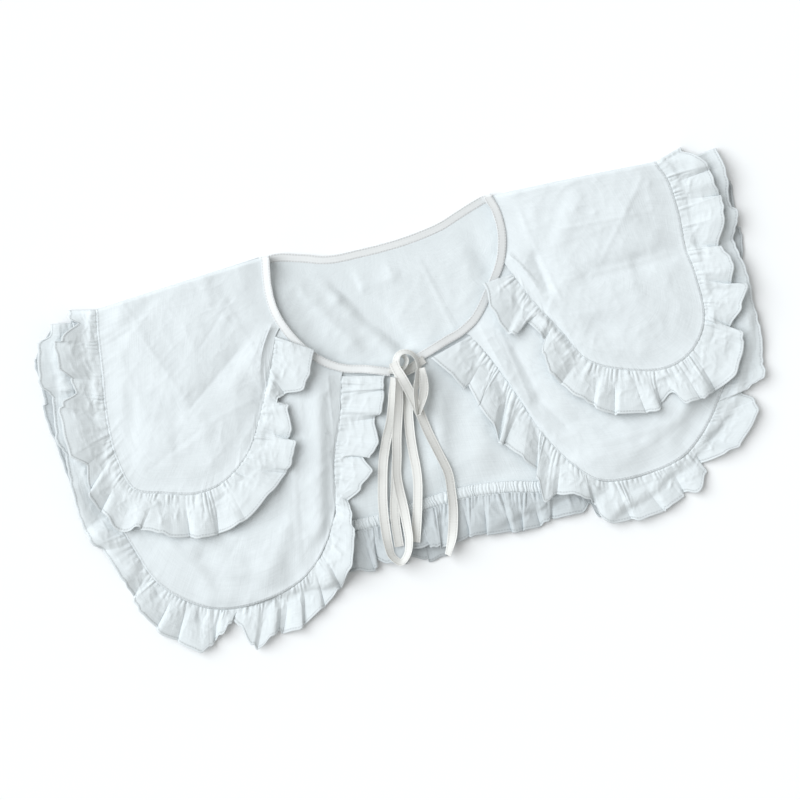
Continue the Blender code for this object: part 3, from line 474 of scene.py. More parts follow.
def ruffle(sections, folds, turn, tips, panel_edge, start=TUCK, bed=None, per_fold=14, rows=40, seed=7, gather=2.0):
    """A gathered strip: the hem follows the fold table, and its pleats break into fine puckers at the seam.

    v runs from 0 at the seam to 1 at the hem. Each hollow slips beneath the crest before or after it. Height is
    the pile's, eased up from beneath the panel's edge, plus the pleat's lift from its own birth on, the puckers,
    dents in mid strip and the hem's turning. tips are where the hem's two ends lie.
    """
    seam = Curve(np.asarray(sections, float)[:, :2])
    k = np.asarray(folds, float)
    rng = np.random.default_rng(seed)
    hollow = np.r_[False, (k[1:-1, 3] < k[:-2, 3]) & (k[1:-1, 3] < k[2:, 3]), False]
    beside = np.clip(np.arange(len(k)) + rng.choice((-1, 1), len(k)), 0, len(k) - 1)
    foot, most = k[:, 0] + k[:, 2], SLIP_MOST * k[:, 1]
    slip = np.where(hollow, SLIP * (foot[beside] - foot), 0).clip(-most, most)
    where = np.linspace(0, len(k) - 1, (len(k) - 1) * per_fold + 1)
    along = np.interp(where, np.arange(len(k)), k[:, 0] * seam.length / k[-1, 0])
    reach, lean = between(where, k[:, 1]) + HEM_WAVE * wander(along, seed, 9), between(where, k[:, 2] + slip)
    birth, lift = between(where, rng.uniform(*PLEAT_BIRTH, len(k))), between(where, k[:, 3], pleat=True)
    base, t, out = seam.at(along), seam.along(along), seam.right(along) * turn
    v = np.linspace(0, 1, rows)[:, None]
    flank = -np.clip(np.gradient(lift, along), -1.5, 1.5) * np.clip(np.minimum(where, where[-1] - where) / 2, 0, 1)
    plan = (base[None] + out[None] * (start + (reach[None] - start) * v)[..., None]
            + t[None] * (lean[None] * v**1.2 + flank[None] * v**1.5)[..., None])
    for column, tip in zip((0, -1), tips):
        ray = np.asarray(tip) - base[column]
        near = start / np.linalg.norm(ray)
        for blend in range(per_fold):
            part, at = 1 - blend / per_fold, blend if column == 0 else -1 - blend
            plan[:, at] = plan[:, at] * (1 - part) + (base[at] + ray * (near + (1 - near) * v)) * part
    x, y = plan[..., 0], plan[..., 1]
    bed = PILE.bed(x, y, RUFFLE_CELLS) if bed is None else np.full_like(x, bed)
    edge_run = run_along(panel_edge[:, :2])
    seam_z = np.interp(along / seam.length, edge_run / edge_run[-1], panel_edge[:, 2]) - WALL - 0.02
    grow = np.clip((v - birth[None]) / (1 - birth[None]), 0, 1) ** 0.8
    free = np.clip((v * reach[None] + start + 0.3) / 1.3, 0, 1)
    rise = soft_step((v - RISE_FROM) / RISE_OVER)
    dents = (sum(crumple(x, y, seed + step, *how) for step, *how in RUFFLE_DENTS)
             * np.sin(np.pi * np.clip(v * 1.1, 0, 1)) ** 0.8)
    z = (np.minimum(seam_z[None], bed) * (1 - rise) + bed * rise + lift[None] * grow + dents
         + gather * free * puckers(along[None], v, seed) + HEM_RIDGE * np.exp(-((v - HEM_AT) / HEM_HALF) ** 2))
    return np.dstack([x, y, np.maximum(z, LOWEST_CLOTH)])


def lay_ruffle(name, node, grid, fabric):
    """Sew a ruffle."""
    piece = sew(name, node, grid[::-1], fabric, "cotton_ruffle", seam_row=0)
    return piece


# The ruffles' cotton is darker than the panels': partly painted shade for its crumpled folds, and partly the lower
# whiteness of a single thin layer.
SHADED_RUFFLE_COTTON = cotton("shaded_ruffle_cotton", (0.71, 0.753, 0.772), ((2.2, 2.6),))
SHADED_FRILL_COTTON = cotton("shaded_frill_cotton", (0.57, 0.61, 0.63), ((2.2, 2.6),))  # painted shade: darker, for the shade in which the back frills lie
folds = back_folds(BACK_UPPER, UPPER_HEM_SEEN, 340, 435, BACK_RUFFLE_PITCH * 2, BACK_RUFFLE_REACH, 2.5)
back_upper_frill = ruffle(BACK_UPPER, folds, 1, SHOULDER_TIPS["upper"], back_upper[-1], start=SEAM_GAP,
                          bed=ON_BOARD, rows=14, gather=0.2)
PILE.lay(back_upper_frill)


# Lower back panel: the inside of the back that shows through the neck and between the fronts. It is the same
# cotton, bound at the neck together with the upper one, and creased where it was folded away.
BACK_LOWER = (
    (-262, 144, -99, 152), (-266, 46, -97, 146), (-243, -28, -88, 143), (-209, -61, -74, 143), (-161, -74, -57, 137),
    (-118, -77, -37, 133.5), (-81, -80, -20, 134), (-50, -81, -17, 134), (-15, -78, 2, 133), (21, -78, 28, 134),
    (53, -83, 45, 136), (85, -91, 55, 137), (121, -87, 75, 143), (169, -70, 88, 147), (221, -35, 96, 149),
    (254, 50, 103, 146), (262, 139, 106, 150))
# columns: from_x, from_y, to_x, to_y, width, height (a hollow is negative)
BACK_LOWER_CREASES = (
    (-46, 130, -36, 112, 10, -2.5), (-36, 112, -21, 86, 12, -3), (-21, 86, -4, 56, 12, -2.5),
    (-22, 128, -21, 112, 6, 1.5), (2, 128, 5, 114, 6, 1.5), (77, 128, 85, 96, 8, -2), (16, 3, -4, -66, 9, 2),
    (48, -6, 33, -70, 9, 2), (-70, 126, -43, 71, 10, 2),
    (-46.4, 136.5, -35.8, 112, 2.4, -0.8), (-35.8, 112, -3.8, 55.6, 2.6, -0.8),
    (1.1, 136.4, 4.7, 118.1, 2, 0.6), (-24.1, 139, -22, 99.5, 2, 0.5), (76.8, 128.5, 85.1, 96, 2.4, -0.7),
    (17.2, 6.6, 3.3, -63, 2.4, 0.7), (44.3, -5.2, 34.6, -71.7, 2.2, -0.6), (-72, 121.9, -37.1, 60.5, 2, 0.6),
    (31.1, 119.5, 43.7, 55.5, 2, 0.6), (30, -9.9, 64.9, -71.4, 2, 0.5), (-93.1, 152, -92.9, 77.6, 20, 4.2),
    (-14.3, 23.9, -36.5, -69.3, 26, 2), (-55.6, 131.3, -43.2, 107.1, 6.5, 2.4),
    (-43.2, 107.1, -10.6, 49.7, 6.5, 2.4), (-42.5, 138, -32.5, 114.5, 5, -1.6),
    (-32.5, 114.5, 0.1, 57.1, 5, -1.6))
PANEL_LOFT = 3.0  # how far a panel's middle stands off its bed
back_lower = panel(BACK_LOWER, BIND_BACK, BACK_LOWER_CREASES, PANEL_LOFT, press=1.3, crowd=0.09, seed=11, cols=260)
PILE.lay(back_lower)


# Elastic casing: a narrow channel of the same cotton, stitched twice along the lower back's hem and drawn up into
# fine ribs by the elastic in it.
CASING_TOP, CASING_FOOT, CASING_RIBBED = -5.0, 5.5, (250, 570)
CASING_CELLS = 2
RIB_PITCH, RIB_HEIGHT, RIB_FADE, CASING_LOFT = 2.5, 1.1, 8, 0.4
STITCH_ROWS, STITCH_WIDTH, STITCH_DEPTH = (0.14, 0.86), 0.06, 0.8  # parts of the casing's width and ribs
seam = Curve(np.asarray(BACK_LOWER, float)[:, :2])
s = np.linspace(0, seam.length, 2600)
v = np.linspace(0, 1, 13)[:, None]
plan = seam.at(s)[None] + seam.right(s)[None] * (CASING_TOP + (CASING_FOOT - CASING_TOP) * v)[..., None]
drawn = np.clip((s - CASING_RIBBED[0]) / RIB_FADE, 0, 1) * np.clip((CASING_RIBBED[1] - s) / RIB_FADE, 0, 1)
bent = s + 0.7 * np.sin(5 * v + wander(s, 3, 17) * 3)
ribs = drawn * puckers(bent, 0 * v, 6, RIB_PITCH, 0)
flattened = 1 - STITCH_DEPTH * sum(np.exp(-((v - row) / STITCH_WIDTH) ** 2) for row in STITCH_ROWS)
height = PILE.bed(plan[..., 0], plan[..., 1], CASING_CELLS) + RIB_HEIGHT * ribs * flattened
back_casing = np.dstack([plan, height + CASING_LOFT * np.sin(np.pi * v)])
PILE.lay(back_casing)


# Lower back ruffle: the frill that hangs from the casing, seen along the bottom of the front opening. It is a
# single gathered layer of cotton with a narrow turned hem.
BACK_HEM_REACH = 39.0
# columns: along the seam, reach from seam to hem, lean along the seam, lift of the hem
BACK_HEM_SEEN = (
    (326, 38, 0, 2), (336, 37, 0, 5), (344, 37, 0, 1), (352, 37, 0, 6), (360, 41, 0, 4), (365, 38, 0, 6),
    (370, 30, -1, 0), (377, 37, -1, 5), (383, 38, -1, 6), (389, 29, -1, 5), (396, 31, -2, 7), (404, 33, -2, 5),
    (412, 35, -3, 7), (421, 37, -4, 6), (431, 39, -5, 3), (439, 39, -9, 6), (447, 36, -8, 1), (456, 37, -7, 6),
    (466, 37, -6, 1), (472, 38, -5, 6), (480, 38, -1, 1), (487, 38, 4, 6), (496, 37, 2, 1), (503, 36, 0, 5),
    (508, 33, 0, 1), (517, 29, 0, 5), (524, 27, 0, 1), (531, 28, 0, 5), (540, 30, 0, 3), (546, 25, 0, 1))
folds = back_folds(BACK_LOWER, BACK_HEM_SEEN, 318, 556, BACK_RUFFLE_PITCH, BACK_HEM_REACH, 3.0)
back_lower_frill = ruffle(BACK_LOWER, folds, 1, SHOULDER_TIPS["lower"], back_casing[-1], start=CASING_FOOT + TUCK,
                          per_fold=12, seed=5, gather=2.2)
PILE.lay(back_lower_frill)


# Neck binding: one band of cotton, folded to 7 mm and stitched along both edges, round the whole neck. It turns
# over at both shoulders, and its free edge stands a little higher than its sewn one.
NECK_BACK_Z, NECK_FRONT_Z, BINDING_THICK, BINDING_TILT = 1.3, 6.4, 1.4, 15.0
BINDING_STEP, TURN_STEP, TURN_BULGE = 2.2, 18, 1.3  # mm, degrees, and the turn's depth over half its height
BIND_LEFT = (
    (-17.5, 36, -98), (-37, 44, -105), (-53, 49, -115), (-65, 56, -130), (-75, 65, -138), (-84, 77, -147),
    (-92, 93, -155), (-96.5, 108, -166), (-97.5, 121, -178), (-96.5, 134, -186), (-94.5, 145, -190),
    (-92.8, 153, -188))
BIND_RIGHT = (
    (99.5, 153.6, 4), (102.3, 144, 4), (103, 136, 0), (102.5, 124, -5), (99.5, 112, -17), (94.5, 100, -26),
    (88, 90, -32), (79, 79, -40), (69, 67, -45), (60, 59, -48), (47, 52.5, -60), (34, 49, -68), (19, 44.5, -70),
    (5.8, 41, -72))


def binding_line():
    """Rows of x, y, z and bearing from the left tie over the left shoulder, along the back and to the right tie.

    At each shoulder it turns round half an oval.
    """
    rows = []
    for table, z in ((BIND_LEFT, NECK_FRONT_Z), (BIND_BACK, NECK_BACK_Z), (BIND_RIGHT, NECK_FRONT_Z)):
        curve = Curve(table)
        s = np.linspace(0, curve.length, round(curve.length / BINDING_STEP))
        rows.append(np.column_stack([curve.at(s)[:, :2], np.full(len(s), z), curve.at(s)[:, 2]]))
    half, down = (NECK_FRONT_Z - NECK_BACK_Z) / 2, np.radians(np.arange(TURN_STEP, 180, TURN_STEP))
    line = [rows[0]]
    for part, a in ((rows[1], down), (rows[2], down[::-1])):
        x, y, _, bearing = part[0]
        same = np.ones(len(a))
        line.append(np.column_stack([x * same, y + half * TURN_BULGE * np.sin(a),
                                     NECK_BACK_Z + half + half * np.cos(a), bearing * same]))
        line.append(part)
    return np.vstack(line)


LOWEST_BAND, SHARP_EDGE = 0.05, 38.0  # mm above the board, and degrees past which a band's edge is sharp
MAP_MIDDLE = 4.0  # V of a band's middle line on its map


def band(name, node, centre, across, up, width, profile, material, slot):
    """A closed bar carried along a line. profile gives its outline as (across, up) in widths and millimetres."""
    ring = len(profile)
    points = (centre[:, None] + across[:, None] * (profile[None, :, :1] * width[:, None, None])
              + up[:, None] * profile[None, :, 1:])
    points[..., 2] = np.maximum(points[..., 2], LOWEST_BAND)
    count = len(centre)
    index = np.arange(count * ring).reshape(count, ring)
    turned = np.roll(index, -1, 1)
    quads = np.stack([index[:-1], turned[:-1], turned[1:], index[1:]], -1).reshape(-1, 4).tolist()
    caps = [tuple(index[0][::-1]), tuple(index[-1])]
    mesh = bpy.data.meshes.new(name)
    mesh.from_pydata((points.reshape(-1, 3) * MM).tolist(), [], quads + caps)
    over = profile[None, :, 0] * width[:, None] + MAP_MIDDLE
    chart = np.stack([np.broadcast_to(run_along(centre)[:, None], (count, ring)), over], -1).reshape(-1, 2) * MM
    if sum(f.center.dot(f.normal) * f.area for f in mesh.polygons) < 0:
        mesh.flip_normals()
    loops = np.zeros(len(mesh.loops), np.int32)
    mesh.loops.foreach_get("vertex_index", loops)
    piece = place(name, node, mesh, chart[loops], material, slot)
    mesh.set_sharp_from_angle(angle=math.radians(SHARP_EDGE))
    return piece


def oval(thick, points=20, square=0.55, dish=0.0, cup=0.0):
    """Outline of a folded band: a flat oval with squared sides, dished between its folds and cupped across."""
    a = np.linspace(0, 2 * np.pi, points, endpoint=False) + np.pi / points
    side = np.sign(np.cos(a)) * np.abs(np.cos(a)) ** square / 2
    face = np.sign(np.sin(a)) * np.abs(np.sin(a)) ** square * thick / 2
    return np.column_stack([side, face * (1 - dish * (1 - (2 * side) ** 2)) + cup * (4 * side**2 - 0.5)])


def strip(centre, across, width):
    """A band's middle line between its two edges, as a grid for the pile."""
    return np.stack([centre + across * k * width / 2 for k in (-1, 0, 1)])


def evened(values, reach):
    """The running mean over reach values to each side, with both ends carried on."""
    count = 2 * reach + 1
    return np.convolve(np.pad(values, reach, "edge"), np.ones(count) / count, "valid")


neck_line = binding_line()
d = unit(np.gradient(neck_line[:, :3], axis=0))
bearing = np.radians(neck_line[:, 3])
across = np.column_stack([np.cos(bearing), np.sin(bearing), np.zeros(len(neck_line))])
across = unit(across - d * (across * d).sum(1)[:, None])
low = neck_line[:, 2] < NECK_BACK_Z + 0.2
high = neck_line[:, 2] > NECK_FRONT_Z - 0.2
PILE.lay(strip(neck_line[low, :3], across[low], BINDING_WIDTH), BINDING_THICK / 2)


# Lower fronts: the cotton panels of the lower tier, laid over the back, with gathered ruffles sewn along their
# edges. The front edges of these ruffles run up to the neck beside the ties.
AIR = 1.7  # loft between back and front at the shoulder fold
LOWER_LEFT = (
    (-57.5, 45.5, -55.5, 46), (-67, 14, -63, 50), (-82, -22, -69, 56), (-96, -70, -77, 65), (-127, -107, -84, 73),
    (-167, -120, -89, 81), (-212, -116, -95, 89), (-249, -86, -100, 99), (-264, -47, -103, 108),
    (-273, 4, -103, 120), (-269, 64, -102, 133), (-265, 123, -99, 146), (-262, 144, -99, 152))
LOWER_RIGHT = (
    (54.5, 48.5, 51.5, 49), (67, 22, 59, 55), (79, -11, 66, 59.5), (91, -47, 73, 65), (107, -76, 78, 71),
    (128, -98, 83, 77), (166, -103, 89, 83), (200, -97, 94, 89), (221, -82, 98, 94), (241, -59, 102, 100),
    (262, -24, 106, 109), (265, 21, 108, 119), (262, 64, 108, 129), (266, 107, 107, 139), (262, 139, 106, 150))
LOWER_LEFT_CREASES = (
    (-79, 37, -110, -75, 9, 3), (-72, 27, -98, -69, 6, -2), (-208, -74, -201, -103, 8, -3),
    (-185, -63, -172, -84, 8, -2), (-131, -61, -167, -111, 8, 2),
    (-81.1, 29.4, -106.6, -76, 3.6, 0.5), (-73.5, 31.6, -101.8, -77.3, 3.4, -0.4),
    (-208.1, -74, -171.1, -118.7, 2, 0.5), (-231.8, -50.1, -207.1, -101.9, 2, 0.5),
    (-175.5, -65.6, -216, -102.9, 1.8, -0.5), (-111.6, 3.2, -131.7, -95, 2.2, 0.6),
    (-96.3, 33.6, -100.4, 0.1, 2, 0.5))
LOWER_RIGHT_CREASES = (
    (87, 26, 96, -20, 9, -2.5), (96, -20, 111, -45, 8, -2), (124, -44, 168, -74, 8, -2), (243, -51, 208, -85, 8, -3),
    (217, -53, 194, -90, 8, 2.5),
    (87.5, 26.1, 96.5, -19.6, 2.6, -0.8), (96.5, -19.6, 111, -45.2, 2.4, -0.7),
    (124.2, -44.5, 168, -73.8, 2.2, -0.6), (134.7, -69, 204.5, -66.6, 2.2, 0.6),
    (164.6, -85.9, 212.6, -68.8, 2.2, -0.6), (79.8, 45.5, 88.4, -17.3, 2, 0.6))
# Ruffle folds, a row for each crest or hollow, from the front edge round to the shoulder.
# columns: along the seam, reach from seam to hem, lean along the seam, lift of the hem
LOWER_LEFT_FOLDS = (
    (2, 33, 4, 2), (11, 36, 0, 5), (19, 36, 0, 2), (28, 35, 1, 6), (41, 29, 1, 0), (55, 35, -1, 7), (64, 30, 2, 5),
    (71, 23, -1, 0), (80, 32, 2, 7), (92, 22, 5, 4), (101, 11, 3, 0), (114, 15, 6, 7), (131, 21, 6, 3),
    (144, 27, 11, 7), (151, 27, 14, 2), (159, 27, 15, 6), (166, 27, 15, 2), (173, 28, 17, 6), (180, 29, 18, 2),
    (187, 32, 19, 7), (195, 29, 19, 0), (202, 27, 17, 1), (208, 29, 15, 7), (217, 36, 17, 5), (224, 31, 14, 7),
    (232, 14, 10, 4), (239, 8, 6, 0), (245, 12, 4, 5), (251, 20, 4, 7), (258, 26, -1, 1), (265, 31, -7, 5),
    (271, 37, -8, 7), (278, 35, -1, 5), (284, 33, 1, 1), (290, 34, 3, 7), (297, 31, 5, 2), (305, 28, 5, 7),
    (314, 25, 2, 5), (325, 22, -5, 1), (338, 21, -7, 7), (353, 23, 1, 2), (369, 28, 1, 7), (386, 29, 2, 2),
    (411, 26, 0, 6), (435, 26, -5, 2), (458, 31, -5, 6), (481, 28, 0, 2), (503, 35, 0, 6), (525, 31, 0, 2),
    (545, 19, -1, 3))
LOWER_RIGHT_FOLDS = (
    (1, 36, -5, 3), (8, 34, 7, 6), (15, 34, 15, 4), (22, 29, 16, 2), (31, 31, 19, 5), (39, 32, 22, 4),
    (47, 30, 26, 7), (55, 35, 24, 1), (64, 34, 26, 6), (74, 31, 27, 2), (86, 24, 25, 7), (98, 22, 20, 2),
    (108, 28, 20, 6), (117, 37, 27, 5), (127, 27, 22, 1), (137, 18, 19, 5), (147, 15, 20, 4), (156, 19, 19, 0),
    (168, 34, 11, 7), (177, 33, 6, 3), (187, 35, 3, 7), (197, 34, 4, 3), (207, 32, 6, 6), (217, 29, 8, 2),
    (225, 26, 6, 0), (234, 31, 0, 6), (242, 23, 1, 2), (248, 14, 1, 0), (256, 25, 6, 7), (264, 32, 18, 5),
    (273, 32, 28, 7), (281, 27, 26, 3), (290, 15, 22, 0), (300, 20, 14, 6), (315, 29, 11, 7), (334, 26, 7, 3),
    (356, 25, 4, 6), (376, 25, 1, 2), (401, 27, -3, 6), (425, 26, -5, 2), (446, 32, 5, 6), (467, 27, -1, 2),
    (485, 32, -2, 6), (499, 32, -2, 3))


def shoulder_air(grid):
    """The loft of a front above its back: full at the shoulder, a tenth of it from the neck's front down."""
    return AIR * np.clip(grid[..., 1] / 60 - 1, 0.1, 1)


fronts = {}
for side, turn, sections, bound, creases, folds, start_tip, seed in (
        ("left", -1, LOWER_LEFT, BIND_LEFT, LOWER_LEFT_CREASES, LOWER_LEFT_FOLDS, (-22.5, 34.5), 21),
        ("right", 1, LOWER_RIGHT, BIND_RIGHT, LOWER_RIGHT_CREASES, LOWER_RIGHT_FOLDS, (18.2, 38.3), 22)):
    cloth = panel(sections, bound, creases, PANEL_LOFT, press=0.7, seed=seed)
    frill = ruffle(sections, folds, turn, (start_tip, SHOULDER_TIPS["lower"][side == "right"]), cloth[-1], seed=seed)
    cloth[..., 2] += shoulder_air(cloth)
    frill[..., 2] += shoulder_air(frill)
    fronts["lower", side, "panel"], fronts["lower", side, "ruffle"] = cloth, frill
for grid in fronts.values():
    PILE.lay(grid)


# Upper fronts: the smaller capelet on top, cut and sewn as the lower one is, of the same cotton. The panels go
# first, then the band that binds both tiers' neck edges, then the ruffles that come up to it.
UPPER_LEFT = (
    (-101, 91.5, -100, 95), (-112, 66, -101, 99), (-130, 33, -102, 105), (-150, 2, -103, 110), (-177, -16, -103, 116),
    (-200, -19, -102, 119), (-228, -11, -102, 124), (-249, -2, -102, 128), (-256, 23, -101, 132),
    (-256, 59, -100, 138), (-249, 99, -99, 144), (-243, 135, -98, 150), (-240, 148, -98, 154))
UPPER_RIGHT = (
    (101.5, 89, 100.5, 99), (109, 68, 102, 103), (128, 31, 105, 108), (144, 1, 106, 112), (176, -16, 107, 117),
    (206, -22, 108, 122), (229, -14, 108, 125), (246, 8, 107.5, 129), (249, 47, 107.5, 134),
    (247, 71, 107.5, 138), (249, 99, 107.5, 142), (247, 130, 106.5, 148), (242, 143, 105, 153))
UPPER_LEFT_CREASES = (
    (-219, 137, -180, 35, 10, 3), (-195, 145, -229, 122, 6, -2), (-182, 53, -142, 81, 8, -2),
    (-142, 81, -105, 101, 8, -2), (-107, 97, -145, 60, 7, 2), (-126, 46, -170, -7, 9, -3),
    (-231, 71, -243, 27, 6, -2), (-195, 57, -205, 25, 6, -2), (-147, 154, -146, 134, 5, 2),
    (-139, 142, -136, 117, 5, 1.5),
    (-217.1, 150.7, -205.1, 118.8, 1.8, 0.6), (-242.4, 121.4, -201.9, 133.5, 1.6, 0.6),
    (-211.4, 127.5, -181.1, 39.6, 1.8, 0.7), (-186.9, 49.9, -135.5, 85.8, 2.2, -0.7),
    (-194.6, 84.8, -225.7, 34.6, 2, 0.5), (-134.5, 130.5, -118.5, 72.5, 2, 0.6),
    (-178.2, 34.5, -125.8, 46, 2.2, 0.5), (-232.3, 10.5, -183.3, 31.6, 2, -0.5),
    (-247, 57.8, -234.6, 2.5, 2, 0.5), (-128.8, 129, -165.6, 95.9, 1.8, -0.5))
UPPER_RIGHT_CREASES = (
    (164, 70, 207, 69, 9, -2.5), (207, 69, 245, 70, 8, -2.5), (124, 96, 126, 72, 6, -2), (120, 52, 161, 27, 9, -2),
    (161, 27, 220, -12, 9, -2), (202, 111, 221, 89, 9, 2), (169, 133, 148, 105, 8, 1.5),
    (164.3, 69.8, 207.4, 69.2, 2, 0.7), (207.4, 69.2, 250.8, 70.2, 2, 0.6), (123.9, 95.6, 127.2, 67, 2.4, -0.7),
    (125, 59, 161.3, 27.4, 2.2, -0.6), (161.3, 27.4, 219.6, -12, 2.4, -0.6),
    (150.2, 112.6, 226.5, 107.1, 1.8, 0.5), (225.5, 135.1, 175.2, 78, 1.8, 0.5),
    (121.4, 133.5, 134.7, 56.4, 2, 0.5))
UPPER_LEFT_FOLDS = (
    (2, 32, 11, 3), (11, 33, 14, 7), (22, 30, 19, 6), (32, 15, 11, 0), (46, 11, 8, 4), (60, 21, 2, 3), (71, 29, 3, 6),
    (81, 28, 1, 0), (90, 35, -8, 7), (104, 36, -11, 5), (116, 34, -13, 1), (124, 34, -12, 7), (132, 36, -2, 5),
    (138, 36, 4, 7), (145, 36, 5, 1), (152, 37, 5, 5), (159, 36, 4, 7), (169, 35, 0, 0), (177, 35, 0, 5),
    (185, 32, 2, 7), (193, 30, 5, 5), (201, 28, 5, 7), (210, 36, -4, 3), (220, 29, -14, 7), (228, 30, -16, 1),
    (237, 32, -15, 6), (246, 29, -14, 0), (253, 25, -9, 3), (261, 35, -7, 7), (275, 37, 5, 5), (285, 34, 8, 7),
    (295, 23, 4, 1), (308, 26, 5, 1), (319, 34, 4, 7), (334, 36, 2, 5), (345, 29, 1, 7), (354, 16, -1, 1),
    (365, 26, -2, 2))
UPPER_RIGHT_FOLDS = (
    (1, 26, 5, 3), (8, 31, 6, 7), (22, 33, 9, 5), (31, 31, 9, 7), (42, 15, 1, 0), (49, 14, 5, 5), (57, 15, 8, 0),
    (67, 24, 2, 6), (81, 29, 6, 7), (93, 29, 11, 2), (103, 31, 5, 6), (110, 33, 1, 4), (117, 36, -1, 7),
    (124, 38, -3, 2), (131, 37, 0, 7), (138, 34, 4, 4), (147, 33, 13, 7), (156, 27, 6, 0), (164, 20, 5, 1),
    (172, 33, 1, 7), (179, 35, -4, 4), (186, 36, -6, 7), (194, 36, -5, 1), (202, 40, -6, 7), (212, 36, -6, 5),
    (220, 33, -4, 7), (228, 20, -5, 0), (237, 30, -7, 7), (248, 38, -5, 7), (259, 26, -4, 0), (269, 31, -7, 7),
    (283, 28, -5, 4), (292, 26, -3, 0), (304, 35, 3, 7), (319, 37, 2, 5), (328, 36, -1, 1), (336, 35, -3, 5),
    (343, 35, -6, 1), (351, 34, -8, 6), (363, 28, -3, 2))
for side, sections, bound, creases, press, bow, seed in (
        ("left", UPPER_LEFT, BIND_LEFT, UPPER_LEFT_CREASES, 0.5, (-80, 35), 31),
        ("right", UPPER_RIGHT, BIND_RIGHT, UPPER_RIGHT_CREASES, 0.8, (70, 35), 32)):
    fronts["upper", side, "panel"] = panel(sections, bound, creases, PANEL_LOFT, press=press, bow=bow, seed=seed)
    PILE.lay(fronts["upper", side, "panel"])

# The binding's front halves lie level with the panels' neck edges, which they hold. Both turns are stretched to
# meet them, and the free edge is tilted up wherever the band lies flat.
LEVEL_AT, LEVEL_REACH = BINDING_WIDTH / 2 + 1.5, 5  # mm from the band's middle, and rows that it is evened over
LEVEL_FALL, LEVEL_RISE, SHOULDER_ROWS = 0.5, 9.0, 7.0  # mm below and above, and mm in plan from the turn
TRIM_CELLS = 1  # how far a band bridges the steps beneath it, in cells of the pile
for way in (-1, 1):
    chosen, turned = high & (neck_line[:, 0] * way > 0), ~high & ~low & (neck_line[:, 0] * way > 0)
    beside = neck_line[chosen, :2] + across[chosen, :2] * LEVEL_AT
    level = PILE.cover(*beside.T, TRIM_CELLS) - UPPER_SIDE
    level = np.clip(level, NECK_FRONT_Z - LEVEL_FALL, NECK_FRONT_Z + LEVEL_RISE)
    from_shoulder = neck_line[chosen, 1].max() - neck_line[chosen, 1]
    first = np.abs(from_shoulder - SHOULDER_ROWS).argmin()
    level = evened(np.where(from_shoulder < SHOULDER_ROWS, level[first], level), LEVEL_REACH)
    stretch = (level[from_shoulder.argmin()] - NECK_BACK_Z) / (NECK_FRONT_Z - NECK_BACK_Z)
    neck_line[chosen, 2] = level
    neck_line[turned, 2] = NECK_BACK_Z + (neck_line[turned, 2] - NECK_BACK_Z) * stretch
    PILE.lay(strip(neck_line[chosen, :3], across[chosen], BINDING_WIDTH), BINDING_THICK / 2)
run = run_along(neck_line[:, :3])
facing = np.cross(d, across)
facing *= np.sign(facing[:, 2:])
tilt = math.radians(BINDING_TILT) * np.clip(facing[:, 2:], 0, 1) ** 2
neck_line[:, 2:3] += np.sin(tilt) * BINDING_WIDTH / 2
across, facing = across * np.cos(tilt) - facing * np.sin(tilt), facing * np.cos(tilt) + across * np.sin(tilt)
BINDING_COTTON = cotton("binding_cotton", (0.83, 0.845, 0.85), ((6.9, 2.4), (1.1, 2.4)))
band("neck_binding_band", "neck_binding", neck_line[:, :3], across, facing,
     BINDING_WIDTH * (1 + 0.03 * wander(run, 8, 12)), oval(BINDING_THICK, square=0.25, dish=0.1), BINDING_COTTON,
     "cotton_binding")
for side, turn, sections, folds, start_tip, seed in (
        ("left", -1, UPPER_LEFT, UPPER_LEFT_FOLDS, (-73.2, 70.4), 41),
        ("right", 1, UPPER_RIGHT, UPPER_RIGHT_FOLDS, (76.4, 86.3), 42)):
    tips, panel_edge = (start_tip, SHOULDER_TIPS["upper"][side == "right"]), fronts["upper", side, "panel"][-1]
    fronts["upper", side, "ruffle"] = ruffle(sections, folds, turn, tips, panel_edge, seed=seed)
    PILE.lay(fronts["upper", side, "ruffle"])


# Shoulder folds: each tier turns over at the shoulder. The front's end rolls down and the back's rolls up,
# half way each, and the lower tier lies inside the upper one's fold.
FOLD_REACH = {"upper": 3.4, "lower": 2.0}
backs = {("upper", "panel"): back_upper, ("upper", "ruffle"): back_upper_frill, ("lower", "panel"): back_lower,
         ("lower", "casing"): back_casing, ("lower", "ruffle"): back_lower_frill}


def rolled(grid, other, out, reach, side, turns=7):
    """Add the quarter turn of a shoulder fold after the grid's last column, half way to the other wall's end.

    It is a quarter of an oval. side is 1 for the front, which rolls down, and -1 for the back, which rolls up.
    """
    edge = grid[:, -1]
    order = np.argsort(np.abs(other[:, 0]))
    other_z = np.interp(np.abs(edge[:, 0]), np.abs(other[order, 0]), other[order, 2])
    half = (edge[:, 2] - other_z) / 2 - side * SEAM_GAP * 0.5
    angles = np.radians(np.linspace(0, 90, turns + 1)[1:])
    cols = [np.column_stack([edge[:, :2] + out * reach * math.sin(a), edge[:, 2] - half * (1 - math.cos(a))])
            for a in angles]
    return np.concatenate([grid, np.stack(cols, 1)], 1)


back_rolls = {key: [] for key in backs}
for tier, reach in FOLD_REACH.items():
    for side, end, way in (("left", 0, -1), ("right", -1, 1)):
        line = backs[tier, "panel"][-1, end, :2] - backs[tier, "panel"][0, end, :2]
        out = unit(np.array([-line[1], line[0]])) * way
        beneath = {"panel": backs[tier, "panel"][:, end],
                   "ruffle": np.vstack([backs[key][:, end] for key in backs if key[0] == tier and key[1] != "panel"])}
        for kind in ("panel", "ruffle"):
            over = fronts[tier, side, kind][:, -1].copy()
            fronts[tier, side, kind] = rolled(fronts[tier, side, kind], beneath[kind], out, reach, 1)
            for key in backs:
                if key[0] == tier and (key[1] == "panel") == (kind == "panel"):
                    back_rolls[key].append((slice(None, None, way), over, out, reach))
for key, rolls in back_rolls.items():
    for turn, over, out, reach in rolls:
        backs[key] = rolled(backs[key][:, turn], over, out, reach, -1)[:, turn]

